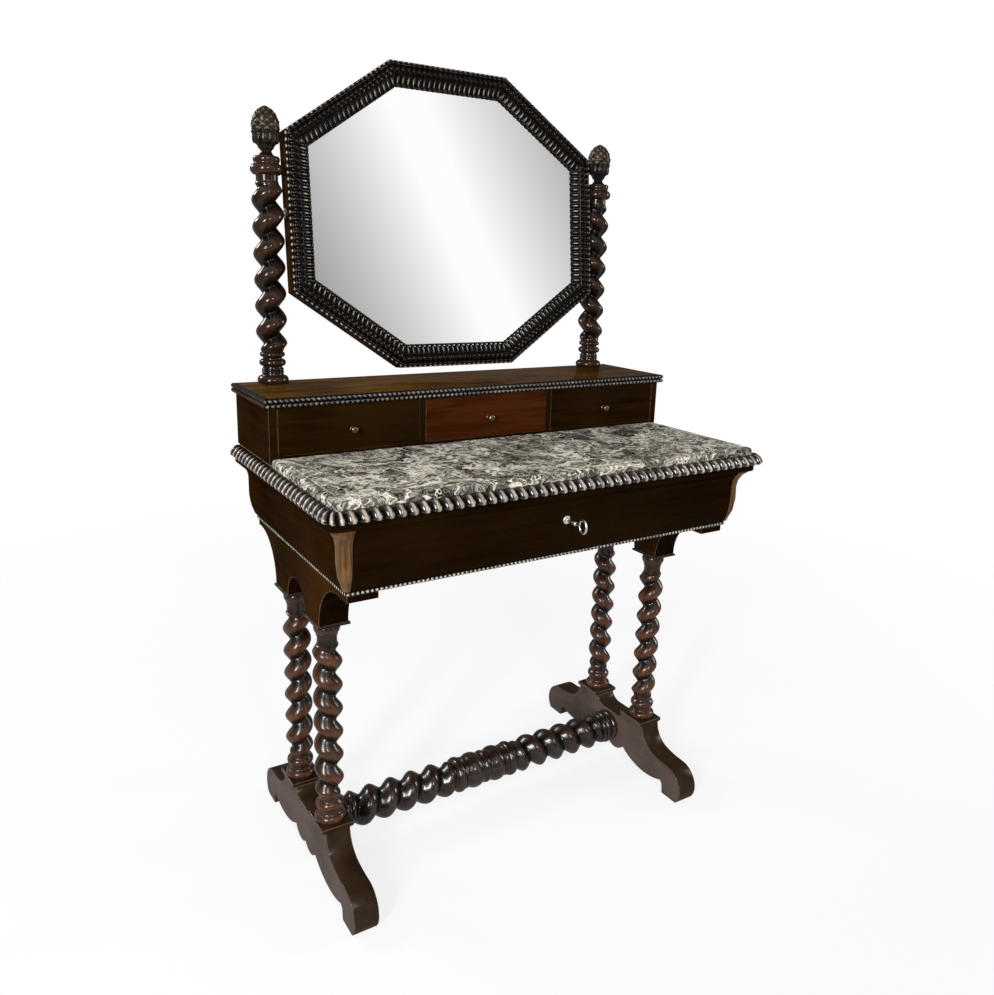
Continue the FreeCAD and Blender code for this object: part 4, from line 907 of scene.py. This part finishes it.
def studio_floor(scene, white, half=6.0, near=1.0, far=2.6):
    """A pale floor that takes soft shadows and fades into the background from near to far."""
    mesh = bpy.data.meshes.new("floor")
    mesh.from_pydata([(-half, -half, 0), (half, -half, 0), (half, half, 0), (-half, half, 0)], [],
                     [(0, 1, 2, 3)])
    floor = bpy.data.objects.new("floor", mesh)
    scene.collection.objects.link(floor)
    tree, shader, place = new_material("studio_floor")
    feed(tree, shader, {"Base Color": (0.92, 0.92, 0.92, 1), "Roughness": 0.9,
                        "Specular IOR Level": 0.0})
    seen, mirrored = seen_rays(tree)
    glow = add(tree, "ShaderNodeEmission", {"Color": white,
                                            "Strength": ramp(tree, mirrored, 0.0, 1.0, 1.0, 0.45)})
    lit = mixed_shader(tree, math_node(tree, "MULTIPLY", seen, 0.80), shader.outputs[0],
                       glow.outputs[0])
    clear = add(tree, "ShaderNodeBsdfTransparent").outputs[0]
    away = add(tree, "ShaderNodeVectorMath", {0: place}, operation="LENGTH").outputs["Value"]
    feed(tree, tree.nodes["Material Output"],
         {0: mixed_shader(tree, ramp(tree, away, near, far), lit, clear)})
    mesh.materials.append(finish("studio_floor"))


def stood(right, up, back, place):
    """The matrix of a thing at a place whose own axes point right, up and back."""
    return Matrix([*zip(right, up, back, place), (0, 0, 0, 1)])


def studio_lamps(scene, power):
    """Soft lamps: name, place, what it points at, width, height and share of the power."""
    for name, place, aim, wide, tall, part in (
            ("key_light", (-3.1, -2.3, 1.9), (0, 0, 0.8), 0.42, 1.8, 1.0),
            ("fill_light", (3.3, -0.8, 1.6), (0, 0, 0.7), 0.3, 1.4, 0.24),
            ("front_light", (-0.9, -3.7, 2.6), (0, 0, 0.7), 0.35, 0.8, 0.28),
            ("back_light", (-1.6, 2.4, 2.4), (0, 0, 0.9), 0.8, 0.5, 0.26)):
        lamp = bpy.data.lights.new(name, "AREA")
        lamp.shape, lamp.size, lamp.size_y, lamp.energy = "RECTANGLE", wide, tall, power * part
        light = bpy.data.objects.new(name, lamp)
        scene.collection.objects.link(light)
        way = np.array(aim) - np.array(place)
        back = -way / np.linalg.norm(way)
        right = np.cross((0, 0, 1), back)
        right /= np.linalg.norm(right)
        light.matrix_world = stood(right, np.cross(back, right), back, place)


def studio_camera(scene):
    """The camera solved on the photograph: its place and turn, and its lens in pixels."""
    place, azimuth, rise, roll = (-0.872257, -1.359146, 1.148247), -31.98329, 13.55647, 0.0294869
    wide, tall, focal, middle = 994, 995, 852.780, (490.846, 461.400)
    azimuth, rise = math.radians(azimuth), math.radians(rise)
    back = np.array((math.sin(azimuth) * math.cos(rise), -math.cos(azimuth) * math.cos(rise),
                     math.sin(rise)))
    across = np.cross(-back, (0, 0, 1))
    across /= np.linalg.norm(across)
    down = np.cross(-back, across)
    right = math.cos(roll) * across - math.sin(roll) * down
    down = math.sin(roll) * across + math.cos(roll) * down
    view = bpy.data.cameras.new("camera")
    view.sensor_fit = "VERTICAL"
    view.sensor_height = view.sensor_width = 36.0
    view.lens = focal / tall * 36
    view.shift_x, view.shift_y = (wide / 2 - middle[0]) / tall, (middle[1] - tall / 2) / tall
    camera = scene.camera = bpy.data.objects.new("camera", view)
    scene.collection.objects.link(camera)
    camera.matrix_world = stood(right, -down, back, place)


# Operators


class Piece:
    """What each piece's operator shares."""
    bl_options = {"REGISTER", "UNDO"}


class TABLE_OT_finishes(Piece, bpy.types.Operator):
    """Make the finishes and put one on every CAD node"""
    bl_idname = "table.finishes"
    bl_label = "Finishes"

    def execute(self, context):
        make_finishes(context.scene.table_colours)
        for part in frame["record"]["subparts"]:
            dress(part["node"], SLOT_FINISHES[part["material_slot"]])
        return {"FINISHED"}


class TABLE_OT_base(Piece, bpy.types.Operator):
    """Ease the edges of the feet and the brackets"""
    bl_idname = "table.base"
    bl_label = "Feet and brackets"

    def execute(self, context):
        for side in ("left", "right"):
            # The feet's sides are painted light as sheen, and the brackets' fronts and arches dark
            # as shade
            eased_copy(f"foot_{side}", "foot_side_sheen_wood", 0.0014, "edge_wear_and_highlight_wood", "foot_top_wood")
            eased_copy(f"bracket_{side}", "bracket_wood", 0.0010, "edge_wear_and_highlight_wood", "arch_shade_wood")
        return {"FINISHED"}


class TABLE_OT_legs(Piece, bpy.types.Operator):
    """Turn the four twist legs"""
    bl_idname = "table.legs"
    bl_label = "Legs"

    def execute(self, context):
        sizes = context.scene.table_twists
        half_x, low, high, fade = 0.378, 0.182, 0.478, 0.012
        line = twist_line(sizes, "leg", LEG_FOOT, 182, 478, LEG_HEAD)
        for name, side, depth, hand, towards, mark in (
                ("front_left", -1, 0.292, -1, -20.6, 0.445),
                ("front_right", 1, 0.292, 1, -43.5, 0.443),
                ("rear_left", -1, 0.132, 1, -18.6, 0.4215),
                ("rear_right", 1, 0.132, -1, -40.4, 0.435)):
            twist = twist_of(sizes, "leg", low, high, fade, hand, towards, mark)
            shell = turned(line, upright, (side * half_x, BACK - depth, 0), twist=twist)
            put_mesh(f"leg_{name}_turning", [shell], "turned_wood", (f"leg_{name}",))
        return {"FINISHED"}


class TABLE_OT_stretcher(Piece, bpy.types.Operator):
    """Turn the stretcher, its two halves of opposite hand"""
    bl_idname = "table.stretcher"
    bl_label = "Stretcher"

    def execute(self, context):
        sizes, sides = context.scene.table_twists, 64
        depth, level, low, high, fade, hand, towards = 0.212, 0.070, 0.078, 0.310, 0.010, 1, 90
        line = twist_line(sizes, "stretcher", STRETCHER_MIDDLE, 78, 310, STRETCHER_END)
        twist = twist_of(sizes, "stretcher", low, high, fade, hand, towards, low)
        points, _, _, crest = turned(line, sideways, (0, BACK - depth, level), sides, twist)
        half, crest = points.reshape(-1, sides, 3), crest.reshape(-1, sides)
        whole = np.concatenate([half[:0:-1] * (-1, 1, 1), half])
        shell = grid_shell(whole, np.concatenate([crest[:0:-1], crest]))
        put_mesh("stretcher_turning", [shell], "stretcher_wood", ("stretcher",))
        return {"FINISHED"}


class TABLE_OT_drawer_case(Piece, bpy.types.Operator):
    """Ease the boards of the drawer case and its ogee front"""
    bl_idname = "table.drawer_case"
    bl_label = "Drawer case"

    def execute(self, context):
        eased_copy("bottom_board", "side_wood", 0.0012)
        for side in ("left", "right"):
            eased_copy(f"frieze_side_{side}", "side_wood", 0.0008)
        eased_copy("top_board", "front_wood", 0.0015)
        eased_copy("long_drawer_front", "front_wood", 0.0007, "edge_wear_and_highlight_wood", body="long_drawer")
        return {"FINISHED"}


class TABLE_OT_bead(Piece, bpy.types.Operator):
    """Carve the beads under the ogee"""
    bl_idname = "table.bead"
    bl_label = "Bead"

    def execute(self, context):
        sizes = context.scene.table_mouldings
        half_x, depth, level, seat, groove = 0.403, 0.452, 0.6355, 0.003, 0.62
        outline = beads(seat, level, sizes.bead_radius, groove)
        left, front, right = mitred_edge(half_x, depth, sizes.bead_pitch)
        for name, runs in (("bead_front", (front,)), ("bead_sides", (left, right))):
            put_mesh(f"{name}_carved", [carried([run], outline) for run in runs], "bead_highlight_wood",
                     (name,))
        return {"FINISHED"}


class TABLE_OT_rim(Piece, bpy.types.Operator):
    """Carve the gadrooned rim round the top"""
    bl_idname = "table.rim"
    bl_label = "Gadrooned rim"

    def execute(self, context):
        sizes = context.scene.table_mouldings
        x, front, corner, per = 0.437, BACK - 0.490, 0.010, 12
        sides, fronts, turn = sizes.rim_side_lobes, sizes.rim_front_lobes, 3
        marks = np.cumsum([0, sides, turn, fronts, turn, sides])
        runs = [straight((-x, BACK), (-x, front + corner), (-1, 0), (-1, 0), marks[0:2],
                         sides * per),
                rounded((-x + corner, front + corner), corner, 180, 270, marks[1:3],
                        turn * per * 2),
                straight((-x + corner, front), (x - corner, front), (0, -1), (0, -1), marks[2:4],
                         fronts * per),
                rounded((x - corner, front + corner), corner, 270, 360, marks[3:5],
                        turn * per * 2),
                straight((x, front + corner), (x, BACK), (1, 0), (1, 0), marks[4:6], sides * per)]
        put_mesh("rim_gadroons", [carried(runs, gadroons(sizes, marks))], "rim_wood",
                 ("rim_left", "rim_front", "rim_right"))
        return {"FINISHED"}


class TABLE_OT_marble(Piece, bpy.types.Operator):
    """Lay the marble slab with its rounded edge and its incised line"""
    bl_idname = "table.marble"
    bl_label = "Marble"

    def execute(self, context):
        x, front, rear, corner, steps = 0.4365, BACK - 0.4895, BACK - 0.1975, 0.0095, 20
        edge = np.concatenate([[(60, 773), (0.6, 773), (0, 773.6)],
                               arcs((0, 789), (6, 795, 1.757), steps=8),
                               [(13.2, 795), (13.8, 794.0), (15.6, 794.0), (16.2, 795),
                                (60, 795)]])
        # The line's crest marks where the marble's finish paints a highlight in the groove
        line = np.isin(edge[:, 0], (13.8, 15.6)).astype(float)[:, None]
        angle = np.radians(np.linspace(180, 360, steps))
        way = np.stack([np.cos(angle), np.sin(angle)], -1)
        left = angle[:, None] < 1.5 * math.pi
        centre = np.where(left, (-1.0, 1.0), (1.0, 1.0)) * (x - corner, 1)
        centre[:, 1] = front + corner
        inset = edge[:, :1] * MM
        plan = centre + way * np.maximum(corner - inset, 0)[..., None]
        extra = np.maximum(inset - corner, 0)[..., None]
        plan = plan + extra * np.stack([np.sign(-centre[:, 0]), np.ones(steps)], -1)
        back = np.stack([np.stack([np.maximum(x - inset[:, 0], 0) * side,
                                   np.full(len(inset), rear)], -1) for side in (1, -1)], 1)
        plan = np.concatenate([plan, back], 1)
        level = np.repeat(edge[:, 1:] * MM, plan.shape[1], 1)[..., None]
        put_mesh("marble_slab", [grid_shell(np.concatenate([plan, level], -1), line)],
                 "veined_marble", ("marble_top",), sharp=30)
        return {"FINISHED"}


class TABLE_OT_key(Piece, bpy.types.Operator):
    """Make the key with its oval bow, and its round plate"""
    bl_idname = "table.key"
    bl_label = "Key and plate"

    def execute(self, context):
        centre = x, y, z = -0.003, BACK - 0.472, 0.704
        stem, half_bow, bow_y, bow_z = 0.036, 0.0102, 0.0095, 0.0115
        bar = turned(arcs(*KEY_SHAFT), forward, centre, 24)
        turn = np.linspace(0, ROUND, 48, endpoint=False)[:, None]
        around = np.linspace(0, ROUND, 16, endpoint=False)[None]
        wire = 0.0018 * (1 + 0.18 * np.cos(turn))
        bow = np.stack([x + wire * np.sin(around),
                        y - stem - half_bow - (bow_y + wire * np.cos(around)) * np.cos(turn),
                        z + (bow_z + wire * np.cos(around)) * np.sin(turn)], -1)
        put_mesh("key_turned", [bar, grid_shell(bow, ring=True)], "bright_steel", ("key",), "key")
        ring = np.array(KEY_PLATE) * MM
        plate = np.stack([x + ring[:, 0] * np.cos(turn), y - ring[:, 1] + 0 * turn,
                          z + ring[:, 0] * np.sin(turn)], -1)
        put_mesh("key_plate", [grid_shell(plate, ring=True)], "bright_steel", ("escutcheon",),
                 "long_drawer")
        return {"FINISHED"}


class TABLE_OT_upper_case(Piece, bpy.types.Operator):
    """Ease the upper case and carve the moulding of its edge"""
    bl_idname = "table.upper_case"
    bl_label = "Upper case"

    def execute(self, context):
        sizes = context.scene.table_mouldings
        for side in ("left", "right"):
            eased_copy(f"case_side_{side}", "side_wood", 0.0008, "edge_wear_and_highlight_wood")
        eased_copy("case_top", "case_top_wood", 0.001)
        dress("case_dividers", "stile_wood")
        half_x, depth = 0.440, 0.197
        left, front, right = mitred_edge(half_x, depth, sizes.pearl_pitch)
        put_mesh("case_moulding_front_carved", [carried([front], reeds(1.0))], "pearl_highlight_wood",
                 ("case_moulding_front",))
        sides = [carried([run], reeds(0.0)) for run in (left, right)]
        put_mesh("case_moulding_sides_reeded", sides, "post_wood", ("case_moulding_sides",))
        return {"FINISHED"}


class TABLE_OT_small_drawers(Piece, bpy.types.Operator):
    """Ease the three small drawer fronts and turn their knobs"""
    bl_idname = "table.small_drawers"
    bl_label = "Small drawers"

    def execute(self, context):
        line = arcs(*KNOB, steps=6)
        for name, wood in (("left", "drawer_wood"), ("middle", "red_wood"),
                           ("right", "drawer_wood")):
            body = f"{name}_drawer"
            eased_copy(f"{body}_front", wood, 0.0007, "joint_edge_highlight_wood", body=body)
            low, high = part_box(f"{body}_knob")
            centre = ((low.x + high.x) / 2, high.y, (low.z + high.z) / 2)
            put_mesh(f"{name}_knob_turned", [turned(line, forward, centre, 32)], "old_brass",
                     (f"{body}_knob",), body)
        return {"FINISHED"}


class TABLE_OT_posts(Piece, bpy.types.Operator):
    """Turn the two mirror posts and carve their finials"""
    bl_idname = "table.posts"
    bl_label = "Posts and finials"

    def execute(self, context):
        sizes = context.scene.table_twists
        half_x, depth, low, high, fade = 0.376, 0.027, 0.965, 1.262, 0.012
        line = twist_line(sizes, "post", POST_FOOT, 965, 1262, POST_HEAD)
        for name, side, hand, towards, mark in (("left", -1, 1, -17.4, 1.257),
                                                ("right", 1, -1, -38.3, 1.220)):
            twist = twist_of(sizes, "post", low, high, fade, hand, towards, mark)
            centre = (side * half_x, BACK - depth, 0)
            put_mesh(f"post_{name}_turning", [turned(line, upright, centre, twist=twist)],
                     "post_wood", (f"post_{name}",))
            put_mesh(f"finial_{name}_carved", [pinecone(centre)], "carved_wood",
                     (f"finial_{name}",), sharp=70)
        return {"FINISHED"}


class TABLE_OT_mirror(Piece, bpy.types.Operator):
    """Carve the rippled frame round the mirror"""
    bl_idname = "table.mirror"
    bl_label = "Mirror"

    def execute(self, context):
        shell, faces = ripple_frame(context.scene.table_mirror)
        piece = put_mesh("mirror_frame_rippled", [shell], "frame_wood", ("mirror_frame",),
                         "mirror")
        piece.data.materials.append(finish("frame_side_wood"))
        piece.data.polygons.foreach_set("material_index", faces)
        return {"FINISHED"}


class TABLE_OT_stage(Piece, bpy.types.Operator):
    """Set up the floor, the studio light and the camera"""
    bl_idname = "table.stage"
    bl_label = "Stage"

    def execute(self, context):
        scene, settings = context.scene, context.scene.table_studio
        white = (*settings.background, 1)
        studio_room(scene, settings, white)
        studio_floor(scene, white)
        studio_lamps(scene, settings.key_power)
        studio_camera(scene)
        scene.view_settings.view_transform = "Standard"
        return {"FINISHED"}


class TABLE_PT_panel(bpy.types.Panel):
    """The table's pieces in the sidebar"""
    bl_idname = "TABLE_PT_panel"
    bl_label = "Dressing Table"
    bl_space_type = "VIEW_3D"
    bl_region_type = "UI"
    bl_category = "Dressing Table"

    def draw(self, context):
        for operator in OPERATORS:
            self.layout.operator(operator.bl_idname)
        for group, name in GROUPS.items():
            for setting in group.__annotations__:
                self.layout.prop(getattr(context.scene, name), setting)


GROUPS = {TwistSizes: "table_twists", MouldingSizes: "table_mouldings",
          MirrorSizes: "table_mirror", FinishColours: "table_colours",
          StudioSettings: "table_studio"}
OPERATORS = (TABLE_OT_finishes, TABLE_OT_base, TABLE_OT_legs, TABLE_OT_stretcher,
             TABLE_OT_drawer_case, TABLE_OT_bead, TABLE_OT_rim, TABLE_OT_marble, TABLE_OT_key,
             TABLE_OT_upper_case, TABLE_OT_small_drawers, TABLE_OT_posts, TABLE_OT_mirror,
             TABLE_OT_stage)


def register():
    for group, name in GROUPS.items():
        bpy.utils.register_class(group)
        setattr(bpy.types.Scene, name, PointerProperty(type=group))
    for operator in OPERATORS:
        bpy.utils.register_class(operator)
    bpy.utils.register_class(TABLE_PT_panel)


def unregister():
    bpy.utils.unregister_class(TABLE_PT_panel)
    for operator in reversed(OPERATORS):
        bpy.utils.unregister_class(operator)
    for group, name in GROUPS.items():
        delattr(bpy.types.Scene, name)
        bpy.utils.unregister_class(group)


def main():
    """Build every piece in order."""
    register()
    for operator in OPERATORS:
        group, name = operator.bl_idname.split(".")
        getattr(getattr(bpy.ops, group), name)()


if __name__ == "__main__":
    main()
